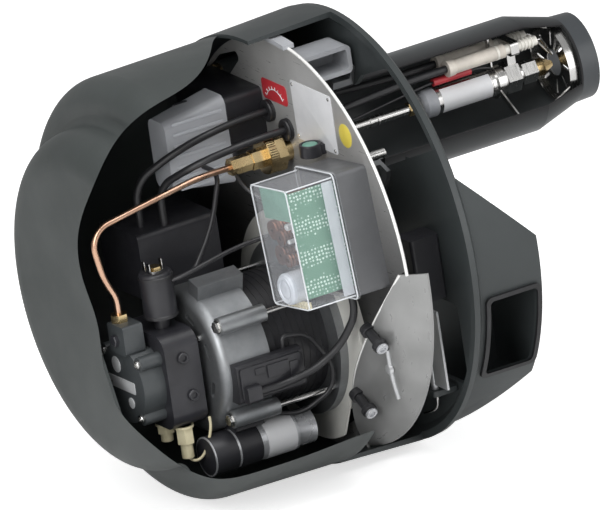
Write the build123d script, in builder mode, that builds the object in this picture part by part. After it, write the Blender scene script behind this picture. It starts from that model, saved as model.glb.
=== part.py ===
from build123d import *
import os
from math import cos, pi, radians, sin, tan

os.makedirs("parts", exist_ok=True)

# Oil burner, cut away for display. Millimetres. +X runs along the blast tube to the
# flame, +Z is up, and the near side, which is cut open, faces -Y.
# The origin is on the tube's axis, in the plane of the casing's front face.

# Heights of the two other axes that run along X
body_z = -86.0
motor_z = -160.0

# Running and seating clearances
running_gap = 0.1
seat_gap = 0.3

# Round body: casing, cover and drum
casing_front_r = 199.0
casing_back_r = casing_front_r - 3
casing_wall = 3.5
front_wall = 5.0
front_band = 10.0
seam_x = -95.0
cover_r = casing_back_r - 1.5
cover_wall = 3.0
cover_back_x = -236.0
cover_round = 24.0
drum_r = cover_r - 38.5
drum_back_x = -282.0
drum_round = 30.0

# Blast tube
tube_r = 52.5
tube_wall = 1.5
spigot_r = 50.5
tube_back_x = -22.0
cone_start_x = 167.0
cone_end_x = 210.0
mouth_r = 39.5
end_ring_length = 17.0
collar_r = 58.0
collar_flange_r = 70.0
tube_window = (-20, 67)

# Mounting plate
plate_x = -68.0
plate_thickness = 3.0
plate_r = casing_back_r - 9

# Air intake
intake_depth = 62.0
intake_wall = 3.0
intake_r = casing_front_r - 6
intake_inner_y = -88.0
intake_mouth_x = 32.0
intake_mouth_z = -159.5
intake_mouth_length = 48.0
intake_mouth_height = 75.0
duct_width = 56.0
duct_height = 76.0
damper_x = -24.0
damper_y = -125.0
damper_z = -168.0
damper_width = 50.0
damper_height = 73.0
damper_shaft_r = 3.0

# Fan and scroll
fan_r = 66.0
fan_back_x = -66.0
fan_width = 46.0
blade_count = 34
scroll_back_x = -80.0
scroll_sheet = 2.0
scroll_front_x = -16.0

# Motor
shell_back_x = -198.0
shell_length = 49.0
shell_r = 66.0
stator_r = 59.0
flange_back_x = -88.0
flange_thickness = 8.0
flange_r = 80.0
shaft_r = 7.0
coupling_x = shell_back_x + 4
boss_r = 8.0
boss_y = 58.0
boss_z = 43.5
boss_set_back = 6.0
boss_length = 46.0

# Pump
pump_back_x = -262.0
pump_cover_r = 36.0
pump_cover_length = 22.0
pump_front_x = -206.0
pump_width = 84.0
pump_top_z = -118.0
pump_bottom_z = -205.0
coil_x = -221.0
coil_y = -10.0
coil_r = 15.0
coil_length = 42.0

# Control box, rolled a little about its own X axis
box_y = -115.0
box_z = -42.0
box_roll = 7.0
box_width = 68.0
box_height = 112.0
box_base_depth = 31.0
box_cover_depth = 50.0
box_cover_wall = 2.0
button_r = 14.5
button_x = -1.0
button_y = -37.5
button_travel = 2.5

# Adjusting screw of the head, on a pillar of the casing
screw_place = (120 * plate_r / 187, body_z + 130 * plate_r / 187)
pillar_end_x = -62.0
screw_r = 3.0

# Leads and pipe
ignition_lead_r = 3.4
motor_lead_r = 3.4
thin_lead_r = 2.2
pipe_r = 2.8


def keep(piece, name):
    """Labels a finished piece and writes it to its own file."""
    piece.part.label = name
    export_step(piece.part, f"parts/{name}.step")


def across(x):
    """The plane square to the tube at x. Its own x is Y and its own y is Z."""
    return Plane.YZ.offset(x)


def beside(distance):
    """The upright plane along the tube, this far out on the near side."""
    return Plane.XZ.offset(distance)


def wedge(reach, low, high, dz=0.0, steps=6):
    """Corners of a wedge in Plane.YZ, its angles counted up from the near side."""
    spread = [low + (high - low) * i / steps for i in range(steps + 1)]
    rim = [(-reach * cos(radians(a)), dz + reach * sin(radians(a))) for a in spread]
    return [(0, dz)] + rim


def lead(route, radius):
    """A round lead along a route, with each arc as large as its two runs allow."""
    corners = [Vector(*p) for p in route]
    runs = [b - a for a, b in zip(corners, corners[1:])]
    radii = []
    for first, second in zip(runs, runs[1:]):
        half_turn = radians(first.get_angle(second) / 2)
        radii.append(0.45 * min(first.length, second.length) / tan(half_turn))
    with BuildPart() as piece:
        with BuildLine():
            path = FilletPolyline(*corners, radius=radii)
        with BuildSketch(Plane(origin=corners[0], z_dir=runs[0])):
            Circle(radius)
        sweep(path=path)
    share = piece.part.volume / (pi * radius**2 * path.length)
    print("radii", [round(r) for r in radii], "length", round(path.length),
          "volume share", round(share, 4))
    return piece


# Front casing: a pan that opens to the back, its near wall cut away
with BuildPart() as front_casing:
    with BuildSketch(Plane.XZ):
        with BuildLine():
            Polyline(
                (seam_x, body_z + casing_back_r),
                (-12, body_z + casing_front_r),
                (-4, body_z + casing_front_r - 1),
                (0, body_z + casing_front_r - 6),
                (0, body_z),
                (-front_wall, body_z),
                (-front_wall, body_z + casing_front_r - 13),
                (-12, body_z + casing_front_r - casing_wall - 1.5),
                (seam_x, body_z + casing_back_r - casing_wall),
                close=True,
            )
        make_face()
    revolve(axis=Axis((0, 0, body_z), (1, 0, 0)))
    with BuildSketch(across(0)):
        Circle(spigot_r + seat_gap)
        with Locations((damper_y, damper_z)):
            RectangleRounded(duct_width, duct_height, 6)
    extrude(amount=-front_wall, mode=Mode.SUBTRACT)
    with BuildSketch(across(0)):
        Polygon((-20, 44), (-36, 58), (-97, 80), (-180, 70), (-190, 30), (-60, -21), (-40, -28),
                align=None)
        with Locations((0, body_z)):
            Circle(casing_front_r - 13, mode=Mode.INTERSECT)
    extrude(amount=-front_wall, mode=Mode.SUBTRACT)
    with BuildSketch(across(-front_band)):
        Polygon(*wedge(270, -72, 88, body_z), align=None)
    extrude(amount=seam_x, mode=Mode.SUBTRACT)
    with BuildSketch(Plane.XY.offset(damper_z - 46)):
        with Locations((-17.5, damper_y)):
            RectangleRounded(25.5, 16, 3)
        with Locations((damper_x, damper_y)):
            Circle(damper_shaft_r + 0.08, mode=Mode.SUBTRACT)
    extrude(amount=5)
    with BuildSketch(across(pillar_end_x)):
        with Locations(screw_place):
            Circle(9)
    extrude(amount=-front_wall - pillar_end_x)
    with BuildSketch(across(pillar_end_x)):
        with Locations(screw_place):
            Circle(screw_r + 0.08)
    extrude(amount=14, mode=Mode.SUBTRACT)
keep(front_casing, "front_casing")

# Rear cover: a stepped drum, opened square to the line of sight so that the inside shows
sight = Vector(-0.430, -0.843, 0.3236)
sight_right = Vector(0.8587, -0.4925, -0.142)
near_way = Vector(0, -0.9336, 0.3584)
window_outline = [
    (-125, 72), (-150, 34), (-178, 17), (-206, -8), (-229, -52), (-242, -92), (-238, -134),
    (-226, -170), (-219, -215), (-205, -250), (-182, -274), (-150, -298), (-122, -308),
    (-82, -301), (-40, -287), (30, -262), (110, -240), (110, 92), (-50, 96), (-100, 84),
]
with BuildPart() as window:
    with BuildSketch(Plane(origin=(0, 0, 0), x_dir=sight_right, z_dir=sight)):
        with BuildLine():
            Spline(*window_outline, periodic=True)
        make_face()
    extrude(amount=420, both=True)
    middle = Vector(0, 0, body_z) - near_way * 15
    split(bisect_by=Plane(origin=middle, x_dir=(1, 0, 0), z_dir=near_way), keep=Keep.TOP)

with BuildPart() as rear_cover:
    with BuildSketch(Plane.XZ):
        with BuildLine():
            Polyline(
                (seam_x, body_z + cover_r),
                (cover_back_x, body_z + cover_r - 1.5),
                (cover_back_x, body_z + drum_r),
                (drum_back_x, body_z + drum_r - 2),
                (drum_back_x, body_z),
                (seam_x, body_z),
                close=True,
            )
        make_face()
        back = [v for v in vertices() if abs(v.X - cover_back_x) < 0.1]
        fillet(max(back, key=lambda v: v.Y), radius=cover_round)
        back = [v for v in vertices() if abs(v.X - cover_back_x) < 0.1]
        fillet(min(back, key=lambda v: v.Y), radius=8)
        rear = [v for v in vertices() if abs(v.X - drum_back_x) < 0.1]
        fillet(max(rear, key=lambda v: v.Y), radius=drum_round)
    revolve(axis=Axis((0, 0, body_z), (1, 0, 0)))
    offset(amount=-cover_wall, openings=faces().sort_by(Axis.X)[-1])
    add(window.part, mode=Mode.SUBTRACT)
keep(rear_cover, "rear_cover")

# Air intake: a hooded box on the casing's face, with its mouth in the round side
with BuildPart() as duct_core:
    with BuildSketch(beside(-intake_inner_y + intake_wall)):
        Polygon((-1, -12), (intake_depth - intake_wall, -77), (intake_depth - intake_wall, -211),
                (-1, -263), align=None)
    extrude(amount=intake_r)
    with BuildSketch(across(-1)):
        with Locations((0, body_z)):
            Circle(intake_r - intake_wall)
    extrude(amount=intake_depth + 2, mode=Mode.INTERSECT)

with BuildPart() as intake_mouth:
    with BuildSketch(beside(intake_r - 73)):
        with Locations((intake_mouth_x, intake_mouth_z)):
            RectangleRounded(intake_mouth_length, intake_mouth_height, 4)
    extrude(amount=intake_r)

with BuildPart() as air_intake_box:
    with BuildSketch(beside(-intake_inner_y)):
        Polygon((0, -7), (intake_depth, -75), (intake_depth, -213), (0, -268), align=None)
    extrude(amount=intake_r)
    with BuildSketch(across(0)):
        with Locations((0, body_z)):
            Circle(intake_r)
    extrude(amount=intake_depth, mode=Mode.INTERSECT)
    add(duct_core.part, mode=Mode.SUBTRACT)
    add(intake_mouth.part, mode=Mode.SUBTRACT)
keep(air_intake_box, "air_intake_box")

frame_rim = 4.0
with BuildPart() as intake_frame:
    with BuildSketch(across(intake_mouth_x - intake_mouth_length / 2 - frame_rim)):
        with Locations((0, body_z)):
            Circle(intake_r + 3)
            Circle(intake_r, mode=Mode.SUBTRACT)
    extrude(amount=intake_mouth_length + 2 * frame_rim)
    with BuildSketch(beside(intake_r - 73)):
        with Locations((intake_mouth_x, intake_mouth_z)):
            RectangleRounded(intake_mouth_length + 2 * frame_rim,
                             intake_mouth_height + 2 * frame_rim, 6)
    extrude(amount=intake_r, mode=Mode.INTERSECT)
    add(intake_mouth.part, mode=Mode.SUBTRACT)
keep(intake_frame, "intake_frame")

# Blast tube with a window in its near wall
with BuildPart() as blast_tube:
    with BuildSketch(Plane.XZ):
        with BuildLine():
            Polyline(
                (tube_back_x, spigot_r),
                (0, spigot_r),
                (0, tube_r),
                (cone_start_x, tube_r),
                (cone_end_x, mouth_r),
                (cone_end_x, mouth_r - tube_wall),
                (cone_start_x, tube_r - tube_wall),
                (3, tube_r - tube_wall),
                (3, spigot_r - tube_wall),
                (tube_back_x, spigot_r - tube_wall),
                close=True,
            )
        make_face()
    revolve(axis=Axis.X)
    with BuildSketch(across(tube_back_x)):
        Polygon(*wedge(70, *tube_window), align=None)
    extrude(amount=cone_end_x - 2 - tube_back_x, mode=Mode.SUBTRACT)
keep(blast_tube, "blast_tube")

with BuildPart() as tube_end_ring:
    with BuildSketch(Plane.XZ):
        with BuildLine():
            Polyline(
                (cone_end_x, mouth_r),
                (cone_end_x + end_ring_length, mouth_r - 0.8),
                (cone_end_x + end_ring_length, mouth_r - 3.3),
                (cone_end_x, mouth_r - 2.5),
                close=True,
            )
        make_face()
    revolve(axis=Axis.X)
keep(tube_end_ring, "tube_end_ring")

with BuildPart() as tube_collar:
    with BuildSketch(across(tube_back_x - 4)):
        Circle(collar_r)
        Circle(spigot_r + running_gap, mode=Mode.SUBTRACT)
    extrude(amount=-front_wall - (tube_back_x - 4))
    with BuildSketch(across(-front_wall - 4)):
        Circle(collar_flange_r)
        Circle(spigot_r + running_gap, mode=Mode.SUBTRACT)
        with PolarLocations(collar_flange_r - 6, 4, start_angle=45):
            Circle(2.6, mode=Mode.SUBTRACT)
    extrude(amount=4)
    with BuildSketch(across(tube_back_x - 4)):
        Polygon(*wedge(90, *tube_window), align=None)
    extrude(amount=30, mode=Mode.SUBTRACT)
keep(tube_collar, "tube_collar")

# Mounting plate: a pressed disc that carries every inner unit
grommet_places = [(23, 31), (-7, 20)]
shroud_outline = [
    (-174, -78), (-140, -124), (-93, -181), (-72, -215), (-51, -252), (-34, -278),
]
with BuildPart() as mounting_plate:
    with BuildSketch(across(plate_x)):
        with Locations((0, body_z)):
            Circle(plate_r)
        with Locations((0, motor_z)):
            Circle(96, mode=Mode.SUBTRACT)
        Polygon((-196, -66), *shroud_outline, (-20, -300), (-230, -300), align=None,
                mode=Mode.SUBTRACT)
        with BuildLine():
            FilletPolyline((155, 27), (108, 63), (51, 82), (100, 40), close=True, radius=5)
        make_face(mode=Mode.SUBTRACT)
        Circle(9, mode=Mode.SUBTRACT)
        with Locations(*grommet_places):
            Circle(9, mode=Mode.SUBTRACT)
    extrude(amount=plate_thickness)
keep(mounting_plate, "mounting_plate")

# Air shroud: a dished cheek beside the scroll, where the plate is cut back
shroud_sheet = 2.0
shroud_rear = [(-50, casing_back_r - 3.8), (-66, casing_back_r - 20), (-79, casing_back_r - 46),
               (-85, casing_back_r - 71)]
body_axis = Axis((0, 0, body_z), (1, 0, 0))
with BuildPart() as before_shroud:
    with BuildSketch(Plane.XZ):
        with BuildLine():
            rear_curve = Spline(*[(x, body_z + r) for x, r in shroud_rear])
            Polyline(rear_curve @ 1, (-10, body_z + shroud_rear[-1][1]),
                     (-10, body_z + shroud_rear[0][1]), rear_curve @ 0)
        make_face()
    revolve(axis=body_axis)

with BuildPart() as air_shroud:
    with BuildSketch(Plane.XZ):
        with BuildLine():
            rear_curve = Spline(*[(x, body_z + r) for x, r in shroud_rear])
            front_curve = Spline(*[(x + shroud_sheet, body_z + r) for x, r in shroud_rear[::-1]])
            Line(rear_curve @ 1, front_curve @ 0)
            Line(front_curve @ 1, rear_curve @ 0)
        make_face()
    revolve(axis=body_axis)
    with BuildSketch(across(-100)):
        with BuildLine():
            edge = Spline(*shroud_outline)
            Polyline(edge @ 1, (-60, -300), (-230, -250), (-230, -78), edge @ 0)
        make_face()
    extrude(amount=80, mode=Mode.INTERSECT)
keep(air_shroud, "air_shroud")

stud_way = (0, -0.87, -0.49)
with BuildPart() as shroud_studs:
    for foot in ((-84, -128, -133), (-82, -85, -204)):
        stud_plane = Plane(origin=foot, x_dir=(1, 0, 0), z_dir=stud_way)
        with BuildSketch(stud_plane):
            Circle(6.5)
        extrude(amount=5)
        with BuildSketch(stud_plane):
            Circle(4.5)
        extrude(amount=28)
        with BuildSketch(stud_plane.offset(25)):
            Circle(6)
        extrude(amount=3)
    add(before_shroud.part, mode=Mode.SUBTRACT)
keep(shroud_studs, "shroud_studs")

# Fan scroll: a spiral wall between a back plate and an inlet plate
scroll_points = 9


def scroll_turn(growth):
    """Points of the spiral, which grows as it goes round from the outlet's tongue."""
    turn = [70 - 270 * i / (scroll_points - 1) for i in range(scroll_points)]
    grown = [72 + growth + 20 * i / (scroll_points - 1) for i in range(scroll_points)]
    return [(-r * cos(radians(a)), motor_z + r * sin(radians(a))) for a, r in zip(turn, grown)]


with BuildPart() as fan_scroll:
    with BuildSketch(across(scroll_back_x + scroll_sheet)):
        with BuildLine():
            outer = Spline(*scroll_turn(scroll_sheet))
            inner = Spline(*scroll_turn(0)[::-1])
            Line(outer @ 1, inner @ 0)
            Line(inner @ 1, outer @ 0)
        make_face()
    extrude(amount=scroll_front_x - scroll_back_x - 2 * scroll_sheet)
    with BuildSketch(across(scroll_front_x - scroll_sheet)):
        with BuildLine():
            outer = Spline(*scroll_turn(scroll_sheet))
            Line(outer @ 1, outer @ 0)
        make_face()
        with Locations((0, motor_z)):
            Circle(50, mode=Mode.SUBTRACT)
    extrude(amount=scroll_sheet)
keep(fan_scroll, "fan_scroll")

with BuildPart() as scroll_plate:
    with BuildSketch(across(scroll_back_x)):
        with Locations((0, motor_z)):
            Circle(105)
            Circle(30, mode=Mode.SUBTRACT)
        with Locations((2, 0)):
            Polygon((-196, -66), *shroud_outline, (-20, -300), (-230, -300), align=None,
                    mode=Mode.SUBTRACT)
    extrude(amount=scroll_sheet)
keep(scroll_plate, "scroll_plate")

# Fan wheel with forward-curved blades between a back disc and a rim
motor_centre = (0, motor_z)
with BuildSketch() as blade:
    with BuildLine():
        back_arc = ThreePointArc((51, 0), (58.5, -3.4), (65.5, -1.2))
        face_arc = ThreePointArc((65.3, 0.1), (58.4, -2.1), (51.3, 1.3))
        Line(back_arc @ 1, face_arc @ 0)
        Line(face_arc @ 1, back_arc @ 0)
    make_face()

with BuildPart() as fan_wheel:
    with BuildSketch(across(fan_back_x)):
        with Locations(motor_centre):
            Circle(fan_r)
            Circle(shaft_r, mode=Mode.SUBTRACT)
    extrude(amount=1.6)
    with BuildSketch(across(fan_back_x)):
        with Locations(motor_centre):
            Circle(13)
            Circle(shaft_r, mode=Mode.SUBTRACT)
    extrude(amount=22)
    with BuildSketch(Plane(origin=(fan_back_x, 0, motor_z), x_dir=(0, 1, 0), z_dir=(1, 0, 0))):
        with PolarLocations(0, blade_count):
            add(blade.sketch)
    extrude(amount=fan_width)
    with BuildSketch(across(fan_back_x + fan_width - 2)):
        with Locations(motor_centre):
            Circle(fan_r)
            Circle(fan_r - 8, mode=Mode.SUBTRACT)
    extrude(amount=2)
keep(fan_wheel, "fan_wheel")

# Motor: end shell with bosses, stator, flange, rotor, shaft and through bolts
boss_places = [(y, motor_z + z) for y in (-boss_y, boss_y) for z in (-boss_z, boss_z)]
bolt_r = 2.5
shell_wall = 4.0
shell_front_x = shell_back_x + shell_length
with BuildPart() as motor_shell:
    with BuildSketch(across(shell_back_x)):
        with Locations(motor_centre):
            Circle(shell_r)
    extrude(amount=shell_length)
    fillet(edges().filter_by(GeomType.CIRCLE).sort_by(Axis.X)[0], radius=9)
    with BuildSketch(across(shell_back_x + boss_set_back)):
        with Locations(*boss_places):
            Circle(boss_r)
        with Locations((-20.3, motor_z + 67)):
            Rectangle(16, 18, rotation=17)
    extrude(amount=boss_length)
    with BuildSketch(across(shell_back_x + 5)):
        with Locations(motor_centre):
            Circle(shell_r - shell_wall)
    extrude(amount=shell_length, mode=Mode.SUBTRACT)
    with BuildSketch(across(shell_back_x)):
        with Locations(motor_centre):
            Circle(12)
            with PolarLocations(46, 8, start_angle=22.5):
                SlotOverall(16, 5, rotation=90)
        with Locations(*boss_places):
            Circle(bolt_r + running_gap)
    extrude(amount=shell_length + 4, mode=Mode.SUBTRACT)
keep(motor_shell, "motor_shell")

stator_inner_r = 34.0
with BuildPart() as motor_stator:
    with BuildSketch(across(flange_back_x)):
        with Locations(motor_centre):
            Circle(stator_r)
            Circle(stator_inner_r, mode=Mode.SUBTRACT)
    extrude(amount=shell_front_x - 12 - flange_back_x)
    with BuildSketch(across(shell_front_x)):
        with Locations(motor_centre):
            Circle(shell_r - shell_wall)
            Circle(stator_inner_r, mode=Mode.SUBTRACT)
    extrude(amount=-12)
keep(motor_stator, "motor_stator")

with BuildPart() as motor_flange:
    with BuildSketch(across(flange_back_x)):
        with Locations(motor_centre):
            Circle(flange_r)
            Circle(shaft_r + running_gap, mode=Mode.SUBTRACT)
    extrude(amount=flange_thickness)
keep(motor_flange, "motor_flange")

with BuildPart() as motor_rotor:
    with BuildSketch(across(-138)):
        with Locations(motor_centre):
            Circle(stator_inner_r - seat_gap)
            Circle(shaft_r, mode=Mode.SUBTRACT)
    extrude(amount=46)
keep(motor_rotor, "motor_rotor")

with BuildPart() as motor_shaft:
    with BuildSketch(across(coupling_x)):
        with Locations(motor_centre):
            Circle(shaft_r)
    extrude(amount=fan_back_x + 22 - coupling_x)
    with BuildSketch(across(coupling_x)):
        with Locations(motor_centre):
            Circle(10.5)
    extrude(amount=-17)
keep(motor_shaft, "motor_shaft")

bolt_head_x = shell_back_x + boss_set_back
with BuildPart() as motor_bolts:
    with BuildSketch(across(bolt_head_x)):
        with Locations(*boss_places):
            Circle(bolt_r)
    extrude(amount=flange_back_x - bolt_head_x)
    with BuildSketch(across(bolt_head_x)):
        with Locations(*boss_places):
            RegularPolygon(radius=4.5, side_count=6, major_radius=False)
    extrude(amount=-4)
keep(motor_bolts, "motor_bolts")

terminal_x = -190.0
terminal_length = 67.0
with BuildPart() as terminal_box:
    with BuildSketch(across(terminal_x)):
        with Locations((-64.5, motor_z - 9)):
            RectangleRounded(23, 36, 4)
        with Locations(motor_centre):
            Circle(shell_r, mode=Mode.SUBTRACT)
    extrude(amount=terminal_length)
    with BuildSketch(across(terminal_x + 4)):
        with Locations((-79, motor_z - 18)):
            RectangleRounded(12, 15, 3)
    extrude(amount=14)
keep(terminal_box, "terminal_box")

# Run capacitor, slung under the motor
capacitor_centre = (-38, -237)
with BuildPart() as capacitor:
    with BuildSketch(across(-212)):
        with Locations(capacitor_centre):
            Circle(18)
    extrude(amount=46)
    with BuildSketch(across(-166)):
        with Locations(capacitor_centre):
            Circle(17.5)
    extrude(amount=38)
    with BuildSketch(across(-128)):
        with Locations(capacitor_centre):
            Circle(16)
    extrude(amount=20)
keep(capacitor, "capacitor")

with BuildPart() as capacitor_bracket:
    with BuildSketch(across(-186)):
        with Locations((-29.7, -220.1)):
            Rectangle(44, 16, rotation=-26.3)
        with Locations(motor_centre):
            Circle(shell_r, mode=Mode.SUBTRACT)
        with Locations(capacitor_centre):
            Circle(18, mode=Mode.SUBTRACT)
    extrude(amount=28)
keep(capacitor_bracket, "capacitor_bracket")

# Fuel pump: body, front cover with the outlet block, solenoid coil and union plugs
pump_middle_z = (pump_top_z + pump_bottom_z) / 2
pump_seam_x = pump_back_x + pump_cover_length
with BuildPart() as pump_body:
    with BuildSketch(across(pump_seam_x)):
        with Locations((0, pump_middle_z)):
            RectangleRounded(pump_width, pump_top_z - pump_bottom_z, 14)
    extrude(amount=pump_front_x - pump_seam_x)
    with BuildSketch(across(pump_front_x)):
        with Locations(motor_centre):
            Circle(27)
    extrude(amount=shell_back_x - pump_front_x)
    with BuildSketch(across(coupling_x - 18)):
        with Locations(motor_centre):
            Circle(11.5)
    extrude(amount=20, mode=Mode.SUBTRACT)
    with BuildSketch(Plane.XY.offset(pump_top_z)):
        with Locations((coil_x, coil_y)):
            Circle(7)
    extrude(amount=10)
keep(pump_body, "pump_body")

with BuildPart() as pump_cover:
    with BuildSketch(across(pump_back_x)):
        with Locations((0, motor_z - 2)):
            Circle(pump_cover_r)
            with Locations((0, pump_cover_r + 2)):
                Rectangle(60, 14, mode=Mode.SUBTRACT)
    extrude(amount=pump_cover_length)
    with BuildSketch(across(pump_back_x + 1)):
        with Locations((-30, -138), (30, -138), (-23, -190), (23, -190)):
            Circle(6.5)
    extrude(amount=pump_cover_length - 1)
    with BuildSketch(across(-266)):
        with Locations((-6, -118.5)):
            RectangleRounded(28, 27, 3)
    extrude(amount=20)
keep(pump_cover, "pump_cover")

with BuildPart() as solenoid_coil:
    with BuildSketch(Plane.XY.offset(pump_top_z + 10)):
        with Locations((coil_x, coil_y)):
            Circle(coil_r)
    extrude(amount=coil_length)
    fillet(edges().filter_by(GeomType.CIRCLE).sort_by(Axis.Z)[-1], radius=3)
keep(solenoid_coil, "solenoid_coil")

with BuildPart() as pump_plugs:
    for x, y, radius, length in ((-232, -8, 7, 17), (-225, -29, 7, 30)):
        with BuildSketch(Plane.XY.offset(pump_bottom_z)):
            with Locations((x, y)):
                Circle(radius - 1.5)
        extrude(amount=-length)
        with BuildSketch(Plane.XY.offset(pump_bottom_z)):
            with Locations((x, y)):
                RegularPolygon(radius=radius, side_count=6, major_radius=False)
        extrude(amount=-0.55 * length)
keep(pump_plugs, "pump_plugs")

# Fuel line: union with its stud on the plate, and brass nuts at both ends of the copper pipe
pipe_start = (-257, 0, pump_top_z + 20)
with BuildPart() as line_union:
    with BuildSketch(across(plate_x)):
        Circle(10.5)
    extrude(amount=-8)
    with BuildSketch(across(plate_x - 8)):
        RegularPolygon(radius=14.5, side_count=6, major_radius=False)
    extrude(amount=-9)
    with BuildSketch(across(plate_x - 17)):
        Circle(16)
    extrude(amount=-9)
    with BuildSketch(across(plate_x - 26)):
        RegularPolygon(radius=8, side_count=6, major_radius=False)
    extrude(amount=-13)
keep(line_union, "line_union")

with BuildPart() as brass_nuts:
    with BuildSketch(across(plate_x - 39)):
        RegularPolygon(radius=7, side_count=6, major_radius=False)
    extrude(amount=-21)
    with BuildSketch(Plane.XY.offset(-105)):
        with Locations((-257, 0)):
            RegularPolygon(radius=7, side_count=6, major_radius=False)
    extrude(amount=7)
    with BuildSketch(Plane.XY.offset(pump_top_z + 10 + coil_length)):
        with Locations((coil_x, coil_y)):
            RegularPolygon(radius=5.5, side_count=6, major_radius=False)
    extrude(amount=4)
keep(brass_nuts, "brass_nuts")

fuel_pipe = lead([pipe_start, (-257, 0, -84), (-267, 0, -62), (-274, 0, -18), (-220, 0, -9),
                  (-160, 0, 0), (-128, 0, 0)], pipe_r)
keep(fuel_pipe, "fuel_pipe")

# Combustion head on the tube's axis
preheater_r = 12.5
head_x = 150.0
with BuildPart() as nozzle_line:
    with BuildSketch(across(plate_x)):
        Circle(4.5)
    extrude(amount=62 - plate_x)
keep(nozzle_line, "nozzle_line")

with BuildPart() as preheater:
    with BuildSketch(across(62)):
        Circle(7)
    extrude(amount=8)
    with BuildSketch(across(70)):
        Circle(preheater_r)
    extrude(amount=head_x - 70)
    fillet(edges().filter_by(GeomType.CIRCLE).group_by(Axis.X)[-1], radius=1.5)
keep(preheater, "preheater")

with BuildPart() as nozzle_holder:
    with BuildSketch(across(head_x)):
        RegularPolygon(radius=preheater_r, side_count=6, major_radius=False)
    extrude(amount=14)
    with BuildSketch(across(head_x + 14)):
        Circle(9)
    extrude(amount=4)
    with BuildSketch(across(head_x + 18)):
        RegularPolygon(radius=9.5, side_count=6, major_radius=False)
    extrude(amount=14)
keep(nozzle_holder, "nozzle_holder")

with BuildPart() as nozzle:
    with BuildSketch(Plane.XZ):
        Polygon((head_x + 32, 0), (head_x + 32, 8), (head_x + 40, 8), (head_x + 50, 3),
                (head_x + 50, 0), align=None)
    revolve(axis=Axis.X)
keep(nozzle, "nozzle")

diffuser_x = 203.0
diffuser_r = 35.0
rim_x = 199.0
with BuildPart() as diffuser:
    with BuildSketch(across(diffuser_x)):
        Circle(diffuser_r)
        Circle(12, mode=Mode.SUBTRACT)
        with PolarLocations(22, 8):
            SlotOverall(14, 2.2, rotation=12, mode=Mode.SUBTRACT)
    extrude(amount=1.2)
    with BuildSketch(across(rim_x)):
        Circle(diffuser_r)
        Circle(diffuser_r - 1.2, mode=Mode.SUBTRACT)
    extrude(amount=12)
keep(diffuser, "diffuser")

with BuildPart() as head_support:
    with BuildSketch(across(140)):
        Circle(15)
        Circle(preheater_r, mode=Mode.SUBTRACT)
    extrude(amount=7)
    for angle in (90, 210, 330):
        side = radians(angle)
        with BuildSketch(Plane(origin=(0, 0, 0), x_dir=(1, 0, 0), z_dir=(0, -sin(side), cos(side)))):
            Polygon((140, 13.5), (140, 50.9), (166, 50.9), (rim_x, 34.9),
                    (rim_x, 33.4), (165.5, 49.4), (141.6, 49.4), (141.6, 13.5), align=None)
        extrude(amount=2.5, both=True)
keep(head_support, "head_support")

# Ignition: electrodes with ceramic sleeves, their clamp, boots and leads
electrode_y = 10.0
electrode_z = 29.0
sleeve_r = 4.5
electrode_r = 1.2
electrode_places = [(-electrode_y, electrode_z), (electrode_y, electrode_z)]
with BuildPart() as electrode_sleeves:
    with BuildSketch(across(head_x)):
        with Locations(*electrode_places):
            Circle(sleeve_r)
            Circle(electrode_r, mode=Mode.SUBTRACT)
    extrude(amount=33)
keep(electrode_sleeves, "electrode_sleeves")

with BuildPart() as electrode_rods:
    for y in (-electrode_y, electrode_y):
        with BuildLine():
            path = FilletPolyline((head_x + 2, y, electrode_z), (head_x + 38, y, electrode_z),
                                  (head_x + 51, 0.25 * y, 9), radius=4)
        with BuildSketch(Plane(origin=(head_x + 2, y, electrode_z), z_dir=(1, 0, 0))):
            Circle(electrode_r)
        sweep(path=path)
keep(electrode_rods, "electrode_rods")

with BuildPart() as electrode_clamp:
    with BuildSketch(across(head_x + 5)):
        with Locations((0, 18.5)):
            Rectangle(12, 12)
        with Locations((0, electrode_z)):
            RectangleRounded(32, 13, 3)
        with Locations(*electrode_places):
            Circle(sleeve_r, mode=Mode.SUBTRACT)
    extrude(amount=8)
keep(electrode_clamp, "electrode_clamp")

boot_start_x = 92.0
with BuildPart() as lead_boots:
    with BuildSketch(across(boot_start_x)):
        with Locations(*electrode_places):
            Circle(6.5)
    extrude(amount=head_x - boot_start_x)
keep(lead_boots, "lead_boots")

with BuildPart() as grommets:
    with BuildSketch(across(plate_x)):
        with Locations(*grommet_places):
            Circle(9)
            Circle(ignition_lead_r + running_gap, mode=Mode.SUBTRACT)
    extrude(amount=plate_thickness)
    for x in (plate_x - 2.5, plate_x + plate_thickness):
        with BuildSketch(across(x)):
            with Locations(*grommet_places):
                Circle(10)
                Circle(ignition_lead_r + running_gap, mode=Mode.SUBTRACT)
        extrude(amount=2.5)
keep(grommets, "grommets")

transformer_top = -45.0
with BuildPart() as transformer:
    with BuildSketch(across(-215)):
        with Locations((60, transformer_top - 30)):
            RectangleRounded(70, 60, 5)
        with Locations(motor_centre):
            Circle(shell_r, mode=Mode.SUBTRACT)
    extrude(amount=80)
keep(transformer, "transformer")

far_lead = lead([(boot_start_x, 10, 29), (60, 10, 29), (2, 16, 29), (-45, 23, 31), (-105, 23, 31),
                 (-160, 25, 22), (-198, 48, -5), (-198, 48, transformer_top)], ignition_lead_r)
keep(far_lead, "far_ignition_lead")
near_lead = lead([(boot_start_x, -10, 29), (60, -10, 29), (2, -8, 24), (-45, -7, 20), (-105, -7, 20),
                  (-160, -3, 14), (-182, 34, -10), (-182, 34, transformer_top)], ignition_lead_r)
keep(near_lead, "near_ignition_lead")

# Control box on the plate: base, clear cover, board with components, reset button
box_front_x = plate_x - box_base_depth
box_back_x = box_front_x - box_cover_depth
roll = radians(box_roll)


def box_plane(x):
    """A plane square to the tube at x, centred on the control box and rolled with it."""
    return Plane(origin=(x, box_y, box_z), x_dir=(0, cos(roll), -sin(roll)), z_dir=(1, 0, 0))


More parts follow.
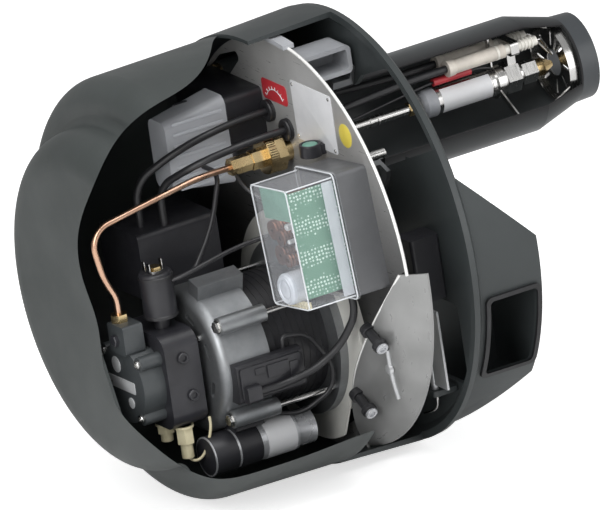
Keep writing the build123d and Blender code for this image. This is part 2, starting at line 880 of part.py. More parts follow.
with BuildPart() as control_base:
    with BuildSketch(box_plane(plate_x)):
        RectangleRounded(box_width, box_height, 4)
    extrude(amount=-box_base_depth)
keep(control_base, "control_base")

with BuildPart() as control_cover:
    with BuildSketch(box_plane(box_front_x)):
        RectangleRounded(box_width + 4, box_height + 4, 6)
    extrude(amount=-3)
    with BuildSketch(box_plane(box_front_x)):
        RectangleRounded(box_width - 2, box_height - 2, 5)
    extrude(amount=-box_cover_depth)
    with BuildSketch(box_plane(box_front_x)):
        RectangleRounded(box_width - 2 - 2 * box_cover_wall, box_height - 2 - 2 * box_cover_wall, 3)
    extrude(amount=-(box_cover_depth - box_cover_wall), mode=Mode.SUBTRACT)
    with BuildSketch(box_plane(box_back_x)):
        with Locations((button_x, button_y)):
            Circle(button_r + seat_gap)
    extrude(amount=10, mode=Mode.SUBTRACT)
keep(control_cover, "control_cover")

board_x = -26.0
with BuildPart() as circuit_board:
    with BuildSketch(box_plane(box_front_x)):
        with Locations((board_x, 2)):
            Rectangle(1.6, 96)
    extrude(amount=-46)
keep(circuit_board, "circuit_board")

with BuildPart() as board_components:
    with BuildSketch(box_plane(box_front_x)):
        with Locations((board_x + 10.8, 30)):
            Rectangle(20, 24)
        with Locations((board_x + 9.8, 0)):
            Rectangle(18, 26)
        with Locations((14, -4)):
            Rectangle(22, 30)
    extrude(amount=-28)
    with BuildSketch(box_plane(box_front_x)):
        with Locations((12, 32)):
            Circle(8.5)
    extrude(amount=-34)
keep(board_components, "board_components")

with BuildPart() as reset_button:
    with BuildSketch(box_plane(box_back_x - 4)):
        with Locations((button_x, button_y)):
            Circle(button_r)
    extrude(amount=25)
    fillet(edges().filter_by(GeomType.CIRCLE).sort_by(Axis.X)[0], radius=2.5)
    with BuildSketch(box_plane(box_back_x + 21)):
        with Locations((button_x, button_y)):
            Circle(3.5)
    extrude(amount=box_cover_depth - 21 - button_travel - 0.2)
keep(reset_button, "reset_button")

# Electrical junctions behind the plate
with BuildPart() as junction_box:
    with BuildSketch(across(plate_x)):
        with Locations((79.5, 27.5)):
            RectangleRounded(91, 45, 5)
    extrude(amount=-37)
keep(junction_box, "junction_box")

with BuildPart() as plug_housing:
    with BuildSketch(across(plate_x - 37)):
        with Locations((55, 11)):
            RectangleRounded(40, 82, 8)
    with BuildSketch(across(-165)):
        with Locations((55, 10)):
            RectangleRounded(30, 64, 8)
    loft()
keep(plug_housing, "plug_housing")

with BuildPart() as flame_detector:
    with BuildSketch(across(plate_x)):
        with Locations((-66, 17)):
            Rectangle(13, 9)
    extrude(amount=-14)
    with BuildSketch(Plane.XY.offset(12.5)):
        with Locations((plate_x - 12, -66)):
            Circle(10)
    extrude(amount=10)
keep(flame_detector, "flame_detector")

# Inside the casing: hood, guide rods, plate clip and the head's adjusting screw
with BuildPart() as casing_hood:
    with BuildSketch(beside(0)):
        with Locations((-37, 75)):
            RectangleRounded(55.6, 26, 5)
    extrude(amount=32)
    with BuildSketch(beside(32)):
        with Locations((-37, 75)):
            RectangleRounded(48, 18, 3)
    extrude(amount=-28, mode=Mode.SUBTRACT)
keep(casing_hood, "casing_hood")

with BuildPart() as guide_rods:
    with BuildSketch(across(plate_x + plate_thickness)):
        with Locations((-66, -6), (66, -6)):
            Circle(4.5)
    extrude(amount=-front_wall - 4 - plate_x - plate_thickness)
keep(guide_rods, "guide_rods")

with BuildPart() as plate_clip:
    with BuildSketch(across(-72)):
        with Locations((0, body_z)):
            Circle(plate_r + 4)
            Circle(plate_r, mode=Mode.SUBTRACT)
        with Locations((-10, 100)):
            Rectangle(34, 40, mode=Mode.INTERSECT)
    extrude(amount=11)
keep(plate_clip, "plate_clip")

with BuildPart() as head_screw:
    with BuildSketch(across(pillar_end_x)):
        with Locations(screw_place):
            Circle(screw_r)
    extrude(amount=12)
    with BuildSketch(across(pillar_end_x)):
        with Locations(screw_place):
            Circle(6.5)
    extrude(amount=-6)
    with BuildSketch(across(pillar_end_x - 6)):
        with Locations(screw_place):
            Rectangle(14, 1.6)
    extrude(amount=2.5, mode=Mode.SUBTRACT)
keep(head_screw, "head_screw")

# Air damper: a blade on an upright shaft behind the duct, turned by an actuator
with BuildPart() as air_damper:
    with BuildSketch(Plane.XY.offset(damper_z - 43)):
        with Locations((damper_x, damper_y)):
            Circle(damper_shaft_r)
    extrude(amount=95)
    with BuildSketch(across(damper_x - 1)):
        with Locations((damper_y, damper_z)):
            Rectangle(damper_width, damper_height)
    extrude(amount=2)
keep(air_damper, "air_damper")

with BuildPart() as damper_actuator:
    with BuildSketch(Plane.XY.offset(damper_z + 43)):
        with Locations((-19.5, damper_y)):
            RectangleRounded(29, 28, 3)
    extrude(amount=59)
    with BuildSketch(Plane.XY.offset(damper_z + 43)):
        with Locations((damper_x, damper_y)):
            Circle(damper_shaft_r + 0.08)
    extrude(amount=10, mode=Mode.SUBTRACT)
keep(damper_actuator, "damper_actuator")

# Low-voltage leads
base_under = box_plane(-86).from_local_coords((9, -box_height / 2, 0))
base_down = box_plane(-86).from_local_coords((9, -box_height / 2 - 24, 0))
motor_lead = lead([base_under, base_down, (-96, -100, -152), (-122, -91, -170),
                   (-150, -80.5, motor_z - 18), (terminal_x + 18, -80.5, motor_z - 18)],
                  motor_lead_r)
keep(motor_lead, "motor_lead")
terminal_top = motor_z - 9 + 18
capacitor_lead = lead([(-135, -64, terminal_top), (-135, -64, -141), (-113, -68, -143),
                       (-93, -72, -176), (-95, -70, -200), (-122, -57, -218),
                       (-144, -47, -214), (-158, -47, -214)], thin_lead_r)
keep(capacitor_lead, "capacitor_lead")
coil_lead = lead([(coil_x + coil_r, coil_y, -80), (-184, coil_y, -80), (-158, -8, -45),
                  (-135, 8, -5), (-135, 35, -5)], thin_lead_r)
keep(coil_lead, "coil_lead")
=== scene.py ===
import bmesh
import bpy
import numpy as np
from mathutils import Matrix, Vector


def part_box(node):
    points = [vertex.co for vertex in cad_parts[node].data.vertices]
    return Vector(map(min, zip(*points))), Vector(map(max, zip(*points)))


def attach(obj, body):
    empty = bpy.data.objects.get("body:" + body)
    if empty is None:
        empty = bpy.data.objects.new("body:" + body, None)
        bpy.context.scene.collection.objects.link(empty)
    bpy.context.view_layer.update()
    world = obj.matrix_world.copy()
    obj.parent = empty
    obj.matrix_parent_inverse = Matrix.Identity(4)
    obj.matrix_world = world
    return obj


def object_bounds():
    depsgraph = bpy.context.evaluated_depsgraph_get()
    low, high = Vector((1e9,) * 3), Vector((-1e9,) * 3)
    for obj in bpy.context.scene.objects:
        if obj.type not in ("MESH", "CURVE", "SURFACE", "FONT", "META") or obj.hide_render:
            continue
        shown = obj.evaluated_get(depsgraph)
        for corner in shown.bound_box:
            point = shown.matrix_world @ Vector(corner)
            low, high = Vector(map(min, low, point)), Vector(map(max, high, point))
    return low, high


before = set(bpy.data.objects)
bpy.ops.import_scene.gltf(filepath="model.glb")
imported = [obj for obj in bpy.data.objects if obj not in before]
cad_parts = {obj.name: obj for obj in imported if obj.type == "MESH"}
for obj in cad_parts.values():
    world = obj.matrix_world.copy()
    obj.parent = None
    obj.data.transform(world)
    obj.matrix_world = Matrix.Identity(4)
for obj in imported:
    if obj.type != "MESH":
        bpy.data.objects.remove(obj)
cad_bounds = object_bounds()

bl_info = {
    "name": "Cutaway oil burner",
    "version": (1, 0, 0),
    "blender": (4, 5, 0),
    "location": "3D View > Sidebar > Burner",
    "description": "Dresses the solids of a cutaway oil burner with detail pieces and finishes",
    "category": "Object",
}

MM = 0.001
X, Y, Z = 0, 1, 2
FRONT, BACK, NEAR, UP, DOWN = (1, 0, 0), (-1, 0, 0), (0, -1, 0), (0, 0, 1), (0, 0, -1)


def lowest(node, axis):
    """A solid's lowest coordinate along an axis at rest, in millimetres, to a micrometre."""
    return round(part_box(node)[0][axis] / MM, 3)


def highest(node, axis):
    """Its highest coordinate."""
    return round(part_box(node)[1][axis] / MM, 3)


def midway(node, axis):
    """The coordinate half-way between them."""
    return (lowest(node, axis) + highest(node, axis)) / 2


# Places that the detail pieces sit on, in millimetres, from the solids where a solid gives them
BODY_Z = -86.0
PLATE_BACK = lowest("mounting_plate", X)
TAG_DEPTH = 0.5
DATA_PLATE = (-59, 43)
SCALE_PLATE = (9, 51)
SHROUD_REACH = (125, 150, 176, 192.2)
SHROUD_X = (-85, -79, -66, -50)
STUD_FEET = ((-84, -128, -133), (-82, -85, -204))
STUD_WAY = (0, -0.8713, -0.4907)
STUD_LENGTH = 28
PUMP_BACK = lowest("pump_cover", X) + 4
PUMP_NEAR_SIDE = lowest("pump_body", Y)
PUMP_UNDERSIDE = lowest("pump_body", Z)
OUTLET = (lowest("pump_cover", X), -6, -119)
COIL = (midway("solenoid_coil", X), midway("solenoid_coil", Y))
COIL_FOOT = lowest("solenoid_coil", Z)
COIL_TOP = highest("solenoid_coil", Z)
CAN_AXIS = (midway("capacitor", Y), midway("capacitor", Z))
CAN_RADIUS = 17.5
MOTOR_Z = midway("motor_shaft", Z)
BOSS_FACE = lowest("motor_bolts", X) + 3.95
SHELL_BACK = lowest("motor_shell", X)
STATOR_RADIUS = 58.5
LID_BACK = (midway("terminal_box", X), -76, midway("terminal_box", Z))
LID_DEPTH = 2.2
ELECTRODE_Y = (-10, 10)
ELECTRODE_Z = midway("electrode_sleeves", Z)
BOOTS_BACK = lowest("lead_boots", X)
HEATER_RADIUS = highest("preheater", Y)
LINE_RADIUS = highest("nozzle_line", Y) - 0.1
UNION_RADIUS = highest("line_union", Z) + 0.05
BOX_MIDDLE = (0, midway("control_cover", Y), midway("control_cover", Z))
BOX_ROLL = 7
COVER_BACK = lowest("control_cover", X)
COVER_FRONT = highest("control_cover", X) - 3
BUTTON_BACK = lowest("reset_button", X) - 0.05
DETECTOR_TOP = (-80, midway("flame_detector", Y), highest("flame_detector", Z))

# Stage, in millimetres. A lamp has a name, a place, a width and height, and its watts.
CAMERA_TOWARD = (-0.430, -0.843, 0.3236)
CAMERA_RIGHT = (0.8587, -0.4925, -0.142)
CAMERA_UP = (0.279, 0.2168, 0.9355)
CAMERA_AIM = (-47.9, -112.1)
CAMERA_DISTANCE = 2500
LAMP_AIM = (-50, 0, -110)
LAMPS = (("lamp_top", (-200, -500, 1400), (1400, 1400), 19),
         ("lamp_left", (-1300, -900, 500), (900, 1200), 14),
         ("lamp_right", (1100, -1200, 300), (900, 1200), 8))
FLOOR_HALF = 9000.0
FLOOR_GAP = 0.5
FLOOR_GLOW = 0.62
ROOM_LEVEL = 0.42


# Shader tools. A value is a socket or a constant, and each add_ function but add_bump gives a socket.

def feed(tree, value, socket):
    """Feeds a socket with another socket or with a constant."""
    if isinstance(value, bpy.types.NodeSocket):
        tree.links.new(value, socket)
    else:
        socket.default_value = value


def add_place(tree):
    """Where a point lies in its object, in metres."""
    return tree.nodes.new("ShaderNodeTexCoord").outputs["Object"]


def add_axis(tree, axis):
    """One coordinate of that place, named X, Y or Z."""
    split = tree.nodes.new("ShaderNodeSeparateXYZ")
    tree.links.new(add_place(tree), split.inputs["Vector"])
    return split.outputs[axis]


def add_noise(tree, place, scale, detail, rough=0.5):
    """The value of a noise texture at a place."""
    node = tree.nodes.new("ShaderNodeTexNoise")
    for label, value in zip(("Vector", "Scale", "Detail", "Roughness"), (place, scale, detail, rough)):
        feed(tree, value, node.inputs[label])
    return node.outputs["Fac"]


def add_ramp(tree, value, low, high, first=0.0, last=1.0):
    """Maps the range low to high onto the range first to last, and clamps what lies outside."""
    node = tree.nodes.new("ShaderNodeMapRange")
    labels = ("Value", "From Min", "From Max", "To Min", "To Max")
    for label, item in zip(labels, (value, low, high, first, last)):
        feed(tree, item, node.inputs[label])
    return node.outputs["Result"]


def add_math(tree, operation, *values):
    """The result of a math node."""
    node = tree.nodes.new("ShaderNodeMath")
    node.operation = operation
    for socket, value in zip(node.inputs, values):
        feed(tree, value, socket)
    return node.outputs[0]


def add_mix(tree, share, first, last, colors=True):
    """Goes from the first to the last with the share. The node takes colours at its inputs 6 and 7
    and plain values at 2 and 3."""
    node = tree.nodes.new("ShaderNodeMix")
    if colors:
        node.data_type = "RGBA"
    sides, result = ((6, 7), 2) if colors else ((2, 3), 0)
    for index, value in zip((0, *sides), (share, first, last)):
        feed(tree, value, node.inputs[index])
    return node.outputs[result]


# Node groups shared by several finishes

def make_group(name, sizes, marks):
    """A node group that puts out colour, gloss and height. From the group's inputs, marks works out
    how far to go from Color to Tint and from Rough Low to Rough High, and the height."""
    group = bpy.data.node_groups.new(name, "ShaderNodeTree")
    inputs = (("Color", "Color"), ("Tint", "Color"), *sizes, ("Rough Low", "Float"), ("Rough High", "Float"))
    outputs = (("Color", "Color"), ("Roughness", "Float"), ("Height", "Float"))
    for way, labels in (("INPUT", inputs), ("OUTPUT", outputs)):
        for label, kind in labels:
            group.interface.new_socket(label, in_out=way, socket_type="NodeSocket" + kind)
    source = group.nodes.new("NodeGroupInput").outputs
    target = group.nodes.new("NodeGroupOutput").inputs
    tone, gloss, height = marks(group, source)
    feed(group, add_mix(group, tone, source["Color"], source["Tint"]), target["Color"])
    feed(group, add_mix(group, gloss, source["Rough Low"], source["Rough High"], False),
         target["Roughness"])
    feed(group, height, target["Height"])
    return group


def grain_marks(group, source):
    """Moulded or cast skin: fine grain as height, with slow changes of colour and gloss."""
    place = add_place(group)
    grain = add_noise(group, place, source["Grain Scale"], 3)
    cloud = add_ramp(group, add_noise(group, place, source["Cloud Scale"], 5, 0.62), 0.35, 0.65)
    return cloud, cloud, grain


def brush_marks(group, source):
    """Rolled or turned metal: streaks drawn out along one axis, as gloss and height."""
    place = add_place(group)
    scale = group.nodes.new("ShaderNodeVectorMath")
    scale.operation = "MULTIPLY"
    feed(group, place, scale.inputs[0])
    feed(group, source["Stretch"], scale.inputs[1])
    streak = add_noise(group, scale.outputs[0], 1.0, 4, 0.6)
    drift = add_ramp(group, add_noise(group, place, 18, 3), 0.35, 0.65)
    return drift, add_ramp(group, streak, 0.3, 0.7), streak


GROUPS = {
    "grain": make_group("skin_grain", (("Grain Scale", "Float"), ("Cloud Scale", "Float")), grain_marks),
    "brush": make_group("brush_marks", (("Stretch", "Vector"),), brush_marks),
}


# Finishes

def start_finish(name):
    """An empty material with its Principled shader."""
    material = bpy.data.materials.new(name)
    material.use_nodes = True
    return material, material.node_tree, material.node_tree.nodes["Principled BSDF"]


def add_bump(tree, shader, height, strength, depth):
    """Feeds a height into the shader's normal."""
    bump = tree.nodes.new("ShaderNodeBump")
    for label, value in zip(("Strength", "Distance", "Height"), (strength, depth, height)):
        feed(tree, value, bump.inputs[label])
    feed(tree, bump.outputs["Normal"], shader.inputs["Normal"])


def tones(color, tint, rough):
    """The values that both groups take: two colours, and the roughness that goes with each."""
    return {"Color": (*color, 1), "Tint": (*tint, 1), "Rough Low": rough[0], "Rough High": rough[1]}


def marked(name, group, values, metallic, bump, depth):
    """A finish whose colour, gloss and height come from one of the groups, fed with these values."""
    material, tree, shader = start_finish(name)
    node = tree.nodes.new("ShaderNodeGroup")
    node.node_tree = GROUPS[group]
    for label, value in values.items():
        node.inputs[label].default_value = value
    feed(tree, node.outputs["Color"], shader.inputs["Base Color"])
    feed(tree, node.outputs["Roughness"], shader.inputs["Roughness"])
    shader.inputs["Metallic"].default_value = metallic
    add_bump(tree, shader, node.outputs["Height"], bump, depth)
    return material


def skin(name, color, tint, rough, grain, cloud, bump, metallic=0.0):
    """A moulded, painted or cast finish."""
    values = {**tones(color, tint, rough), "Grain Scale": grain, "Cloud Scale": cloud}
    return marked(name, "grain", values, metallic, bump, 0.0003)


def metal(name, color, tint, rough, stretch, bump=0.012, metallic=1.0):
    """A rolled, drawn or turned metal finish."""
    values = {**tones(color, tint, rough), "Stretch": stretch}
    return marked(name, "brush", values, metallic, bump, 0.0002)


def sheet(name, color, tint, rough, stretch, metallic):
    """Rolled sheet that keeps some of its own light grey when it faces a dark room."""
    return metal(name, color, tint, rough, stretch, 0.003, metallic)


def clear(name, color, alpha, rough, most):
    """Thin clear plastic: its alpha grows from the face turned to the eye to the one seen edge-on."""
    material, tree, shader = start_finish(name)
    shader.inputs["Base Color"].default_value = (*color, 1)
    shader.inputs["Roughness"].default_value = rough
    shader.inputs["IOR"].default_value = 1.49
    edge = tree.nodes.new("ShaderNodeLayerWeight")
    edge.inputs["Blend"].default_value = 0.25
    feed(tree, add_ramp(tree, edge.outputs["Facing"], 0.0, 1.0, alpha, most), shader.inputs["Alpha"])
    return material


def board():
    """Circuit board: green lacquer with rows of pale solder spots."""
    material, tree, shader = start_finish("board_green")
    place = add_place(tree)
    spots = tree.nodes.new("ShaderNodeTexVoronoi")
    spots.inputs["Scale"].default_value = 300
    spots.inputs["Randomness"].default_value = 0.35
    feed(tree, place, spots.inputs["Vector"])
    near = add_ramp(tree, spots.outputs["Distance"], 0.24, 0.38, 1.0, 0.0)
    patch = add_ramp(tree, add_noise(tree, place, 55, 1), 0.28, 0.42, 0.15, 1.0)
    mask = add_math(tree, "MULTIPLY", near, patch)
    color = add_mix(tree, mask, (0.13, 0.27, 0.20, 1), (0.60, 0.74, 0.68, 1))
    feed(tree, color, shader.inputs["Base Color"])
    shader.inputs["Roughness"].default_value = 0.35
    add_bump(tree, shader, mask, 0.4, 0.0004)
    return material


def fade_color(tree, shader, share, dark):
    """Makes a finish dark where the share is 0, and leaves its own colour where it is 1; used to paint shade
    and reflection into the colour.
    """
    own = shader.inputs["Base Color"].links[0].from_socket
    feed(tree, add_mix(tree, share, (*dark, 1), own), shader.inputs["Base Color"])


def sheet_with_painted_reflection(*values):
    """Rolled sheet with a painted dark reflection that deepens downwards: share = (z + 0.09) / 0.15, z in
    metres.
    """
    material = sheet(*values)
    tree = material.node_tree
    shader = tree.nodes["Principled BSDF"]
    # Painted reflection: the colour goes to dark grey towards the bottom, standing in for the dark inside
    # that the plate reflects.
    fade_color(tree, shader, add_ramp(tree, add_axis(tree, "Z"), -0.09, 0.06), (0.10, 0.10, 0.10))
    return material


def paint_with_painted_shade(*values):
    """Tube paint with painted shade: it darkens towards the window, so that the cut fades into the dark
    inside as in a phantom view.
    The share of paint is (angle - 67) / 30 above the window and (-20 - angle) / 34 below it, with the
    angle about the tube's axis in degrees, counted up from the near side."""
    material = skin(*values)
    tree = material.node_tree
    shader = tree.nodes["Principled BSDF"]
    near = add_math(tree, "MULTIPLY", add_axis(tree, "Y"), -1.0)
    angle = add_math(tree, "ARCTAN2", add_axis(tree, "Z"), near)
    top, top_end, low, low_end = np.radians((67, 97, -20, -54)).tolist()
    beside = add_math(tree, "MAXIMUM", add_ramp(tree, angle, top, top_end),
                      add_ramp(tree, angle, low, low_end))
    share = add_math(tree, "MAXIMUM", beside, add_math(tree, "LESS_THAN", angle, low_end))
    # Painted shade: next to the window the paint goes nearly black, as the dark inside of the tube.
    fade_color(tree, shader, share, (0.006, 0.006, 0.007))
    feed(tree, add_ramp(tree, share, 0.0, 1.0, 0.8, 0.36), shader.inputs["Roughness"])
    return material


FINISH = {
    "cover": skin("cover_plastic", (0.044, 0.051, 0.050), (0.036, 0.042, 0.041), (0.42, 0.52),
                  1400, 9, 0.10),
    "casing": skin("casing_plastic", (0.034, 0.040, 0.041), (0.028, 0.033, 0.034), (0.40, 0.50),
                   1400, 9, 0.10),
    "black": skin("black_plastic", (0.022, 0.022, 0.026), (0.015, 0.015, 0.018), (0.32, 0.48),
                  1600, 30, 0.12),
    "grille": skin("grille_plastic", (0.012, 0.012, 0.014), (0.008, 0.008, 0.009), (0.40, 0.55),
                   1500, 30, 0.12),
    "hood": skin("hood_plastic", (0.38, 0.39, 0.41), (0.30, 0.31, 0.33), (0.30, 0.45), 1500, 20, 0.05),
    # The tube's paint holds painted shade towards its window.
    "tube": paint_with_painted_shade("tube_paint", (0.075, 0.082, 0.085), (0.055, 0.061, 0.063), (0.30, 0.42),
                        1100, 12, 0.06),
    "end_ring": skin("end_ring_paint", (0.045, 0.050, 0.055), (0.035, 0.040, 0.044), (0.30, 0.42),
                     1100, 12, 0.06),
    # The plate's colour holds a painted dark reflection towards its bottom.
    "plate": sheet_with_painted_reflection("plate_alu", (0.56, 0.557, 0.548), (0.47, 0.468, 0.46), (0.26, 0.40),
                          (40, 40, 700), 0.5),
    "shroud": sheet("shroud_alu", (0.32, 0.322, 0.32), (0.25, 0.252, 0.25), (0.26, 0.40),
                    (300, 40, 40), 0.55),
    # Near-white sheet for the edge wires: painted highlights.
    "rim": sheet("bright_rim", (0.92, 0.92, 0.90), (0.84, 0.84, 0.82), (0.20, 0.30), (40, 40, 40), 0.3),
    "cast": skin("cast_alu", (0.31, 0.32, 0.33), (0.22, 0.23, 0.24), (0.38, 0.55), 1100, 22, 0.35, 0.85),
    "steel": metal("bright_steel", (0.64, 0.635, 0.62), (0.50, 0.495, 0.485), (0.14, 0.30),
                   (900, 60, 60)),
    "zinc": sheet("zinc_sheet", (0.60, 0.61, 0.62), (0.48, 0.49, 0.50), (0.28, 0.45), (60, 400, 400),
                  0.6),
    "scroll": sheet("scroll_sheet", (0.70, 0.695, 0.65), (0.58, 0.575, 0.54), (0.34, 0.48),
                    (60, 200, 200), 0.1),
    "stator": skin("stator_black", (0.022, 0.022, 0.025), (0.014, 0.014, 0.016), (0.35, 0.5),
                   800, 40, 0.3),
    "pump": skin("pump_black", (0.026, 0.026, 0.031), (0.016, 0.016, 0.019), (0.28, 0.42),
                 1300, 25, 0.25),
    "lid": skin("lid_grey", (0.052, 0.058, 0.061), (0.042, 0.047, 0.050), (0.32, 0.46), 1300, 25, 0.2),
    "brass": metal("brass", (0.66, 0.51, 0.28), (0.54, 0.40, 0.20), (0.20, 0.30), (90, 90, 90)),
    "copper": metal("copper", (0.70, 0.46, 0.33), (0.58, 0.35, 0.24), (0.24, 0.36), (80, 80, 80)),
    "rubber": skin("rubber", (0.020, 0.020, 0.022), (0.013, 0.013, 0.015), (0.34, 0.5), 1300, 40, 0.1),
    "ceramic": skin("ceramic", (0.80, 0.78, 0.73), (0.70, 0.68, 0.62), (0.16, 0.26), 700, 60, 0.03),
    "cream": skin("cream_plastic", (0.70, 0.64, 0.44), (0.58, 0.52, 0.34), (0.30, 0.42), 900, 60, 0.05),
    "relay": skin("relay_plastic", (0.08, 0.09, 0.10), (0.05, 0.05, 0.06), (0.25, 0.4), 900, 60, 0.05),
    "can": skin("can_grey", (0.55, 0.56, 0.58), (0.46, 0.47, 0.49), (0.22, 0.34), 900, 40, 0.04, 0.6),
    "button": skin("button_plastic", (0.60, 0.63, 0.68), (0.48, 0.51, 0.56), (0.12, 0.22), 900, 60, 0.03),
    "board": board(),
    "clear": clear("clear_plastic", (0.70, 0.72, 0.76), 0.03, 0.12, 0.30),
    "haze": clear("clear_haze", (0.66, 0.69, 0.74), 0.42, 0.25, 0.75),
    "base": skin("base_grey", (0.105, 0.107, 0.112), (0.085, 0.087, 0.092), (0.36, 0.48), 1500, 20, 0.08),
    "card": skin("card_green", (0.16, 0.33, 0.26), (0.12, 0.26, 0.205), (0.30, 0.42), 300, 90, 0.10),
    "wire": metal("winding_copper", (0.42, 0.20, 0.13), (0.22, 0.10, 0.07), (0.3, 0.5),
                  (900, 900, 900), 0.3),
    "clear_edge": clear("clear_edge", (0.84, 0.87, 0.90), 0.50, 0.10, 0.75),
    "plug": clear("plug_plastic", (0.66, 0.68, 0.72), 0.55, 0.25, 0.80),
    "label": skin("label_white", (0.66, 0.665, 0.68), (0.60, 0.605, 0.62), (0.30, 0.42), 1500, 30, 0.03),
    "red": skin("label_red", (0.52, 0.035, 0.045), (0.42, 0.025, 0.035), (0.30, 0.40), 1500, 30, 0.03),
    "yellow": skin("label_yellow", (0.72, 0.60, 0.10), (0.62, 0.50, 0.07), (0.35, 0.45), 1500, 30, 0.03),
    "sleeve": skin("sleeve_cream", (0.66, 0.61, 0.54), (0.52, 0.48, 0.43), (0.35, 0.5), 700, 60, 0.10),
    "silver": skin("label_silver", (0.66, 0.67, 0.68), (0.56, 0.57, 0.58), (0.25, 0.36),
                   700, 60, 0.05, 0.3),
    "grey": skin("print_grey", (0.30, 0.31, 0.33), (0.22, 0.23, 0.25), (0.35, 0.5), 1300, 60, 0.08),
    "brown": skin("winding_brown", (0.22, 0.11, 0.07), (0.13, 0.06, 0.04), (0.35, 0.5), 700, 60, 0.2),
}

NODE_FINISH = {
    "front_casing": "casing", "rear_cover": "cover", "air_intake_box": "casing",
    "intake_frame": "grille", "blast_tube": "tube", "tube_end_ring": "end_ring",
    "tube_collar": "cast", "mounting_plate": "plate", "air_shroud": "shroud",
    "shroud_studs": "rubber", "fan_scroll": "scroll", "scroll_plate": "scroll", "fan_wheel": "zinc",
    "motor_shell": "cast", "motor_stator": "stator", "motor_flange": "cast",
    "motor_rotor": "zinc", "motor_shaft": "steel", "motor_bolts": "steel",
    "terminal_box": "black", "capacitor": "can", "capacitor_bracket": "black",
    "pump_body": "pump", "pump_cover": "lid", "solenoid_coil": "black", "pump_plugs": "cream",
    "line_union": "brass", "brass_nuts": "brass", "fuel_pipe": "copper",
    "nozzle_line": "steel", "preheater": "steel", "nozzle_holder": "steel", "nozzle": "brass",
    "diffuser": "steel", "head_support": "steel", "electrode_sleeves": "ceramic",
    "electrode_rods": "steel", "electrode_clamp": "steel", "lead_boots": "sleeve",
    "grommets": "rubber", "transformer": "black", "far_ignition_lead": "rubber",
    "near_ignition_lead": "rubber", "control_base": "base", "control_cover": "clear",
    "circuit_board": "board", "board_components": "relay", "reset_button": "button",
    "junction_box": "black", "plug_housing": "plug", "flame_detector": "black",
    "casing_hood": "hood", "guide_rods": "steel", "plate_clip": "hood", "head_screw": "brass",
    "air_damper": "zinc", "damper_actuator": "black", "motor_lead": "rubber",
    "capacitor_lead": "rubber", "coil_lead": "rubber",
}


# Mesh tools. Points are in millimetres in the frame's axes.

def grid_faces(rows, columns, rings=False):
    """Quads between neighbours in a grid of points. Where rows are rings, the last column meets the
    first."""
    r = np.arange(rows - 1)[:, None]
    c = np.arange(columns if rings else columns - 1)[None, :]
    c2 = (c + 1) % columns
    quads = [r * columns + c, r * columns + c2, (r + 1) * columns + c2, (r + 1) * columns + c]
    return np.stack(np.broadcast_arrays(*quads), -1).reshape(-1, 4).tolist()


def closed_grid(rows, columns):
    """Quads of a grid whose rows are rings, with a flat face over the first and the last ring."""
    last = (rows - 1) * columns
    ends = [list(range(columns))[::-1], list(range(last, last + columns))]
    return grid_faces(rows, columns, True) + ends


def put(name, points, faces, finish, slot, body="burner", smooth=True):
    """Makes one piece from arrays of points and faces, closed up and facing outwards."""
    mesh = bpy.data.meshes.new(name)
    mesh.from_pydata((np.asarray(points, float).reshape(-1, 3) * MM).tolist(), [], faces)
    work = bmesh.new()
    work.from_mesh(mesh)
    bmesh.ops.remove_doubles(work, verts=work.verts, dist=1e-6)
    bmesh.ops.recalc_face_normals(work, faces=work.faces)
    work.to_mesh(mesh)
    work.free()
    mesh.polygons.foreach_set("use_smooth", np.full(len(mesh.polygons), smooth))
    mesh.materials.append(FINISH[finish])
    piece = bpy.data.objects.new(name, mesh)
    bpy.context.scene.collection.objects.link(piece)
    if smooth:
        mesh.set_sharp_from_angle(angle=0.6)
    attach(piece, body)


def axes_of(direction):
    """Three unit vectors: the direction d, a level u square to it, and v square to both."""
    d = np.asarray(direction, float)
    d = d / np.linalg.norm(d)
    u = np.cross(UP, d)
    if np.linalg.norm(u) < 1e-6:
        u = np.cross((0.0, 1.0, 0.0), d)
    u = u / np.linalg.norm(u)
    return d, u, np.cross(d, u)


def turned(profile, origin, direction, steps=40):
    """Points and faces of a turned form: each (along, radius) pair goes round the axis.
    A point is origin + along * d + radius * (cos t * u + sin t * v)."""
    d, u, v = axes_of(direction)
    along, radius = np.asarray(profile, float).T
    t = np.linspace(0, 2 * np.pi, steps, endpoint=False)
    ring = np.cos(t)[:, None] * u + np.sin(t)[:, None] * v
    points = (np.asarray(origin, float) + along[:, None, None] * d
              + radius[:, None, None] * ring[None])
    return points.reshape(-1, 3), grid_faces(len(along), steps, True)


def disc(radius, depth):
    """Profile of a plain disc."""
    return [(0, 0), (0, radius), (depth, radius), (depth, 0)]


def hoop(inner, outer, depth):
    """Closed profile of a ring with a square section."""
    return [(0, inner), (0, outer), (depth, outer), (depth, inner), (0, inner)]


def join(*parts):
    """One set of points and faces from several."""
    points, faces, count = [], [], 0
    for p, f in parts:
        points.append(np.asarray(p, float).reshape(-1, 3))
        faces += [[i + count for i in face] for face in f]
        count += len(points[-1])
    return np.concatenate(points), faces


def rounded_outline(width, height, radius, steps=5):
    """Corners of a rounded rectangle about the origin, each corner a quarter circle."""
    t = np.linspace(0, np.pi / 2, steps)
    corners = []
    for sx, sy, turn in ((1, 1, 0), (-1, 1, 1), (-1, -1, 2), (1, -1, 3)):
        angle = t + turn * np.pi / 2
        corners.append(np.stack([sx * (width / 2 - radius) + radius * np.cos(angle),
                                 sy * (height / 2 - radius) + radius * np.sin(angle)], -1))
    return np.concatenate(corners)


def round_outline(radius):
    """Points of a circle about the origin."""
    t = np.linspace(0, 2 * np.pi, 40, endpoint=False)
    return radius * np.stack([np.cos(t), np.sin(t)], -1)


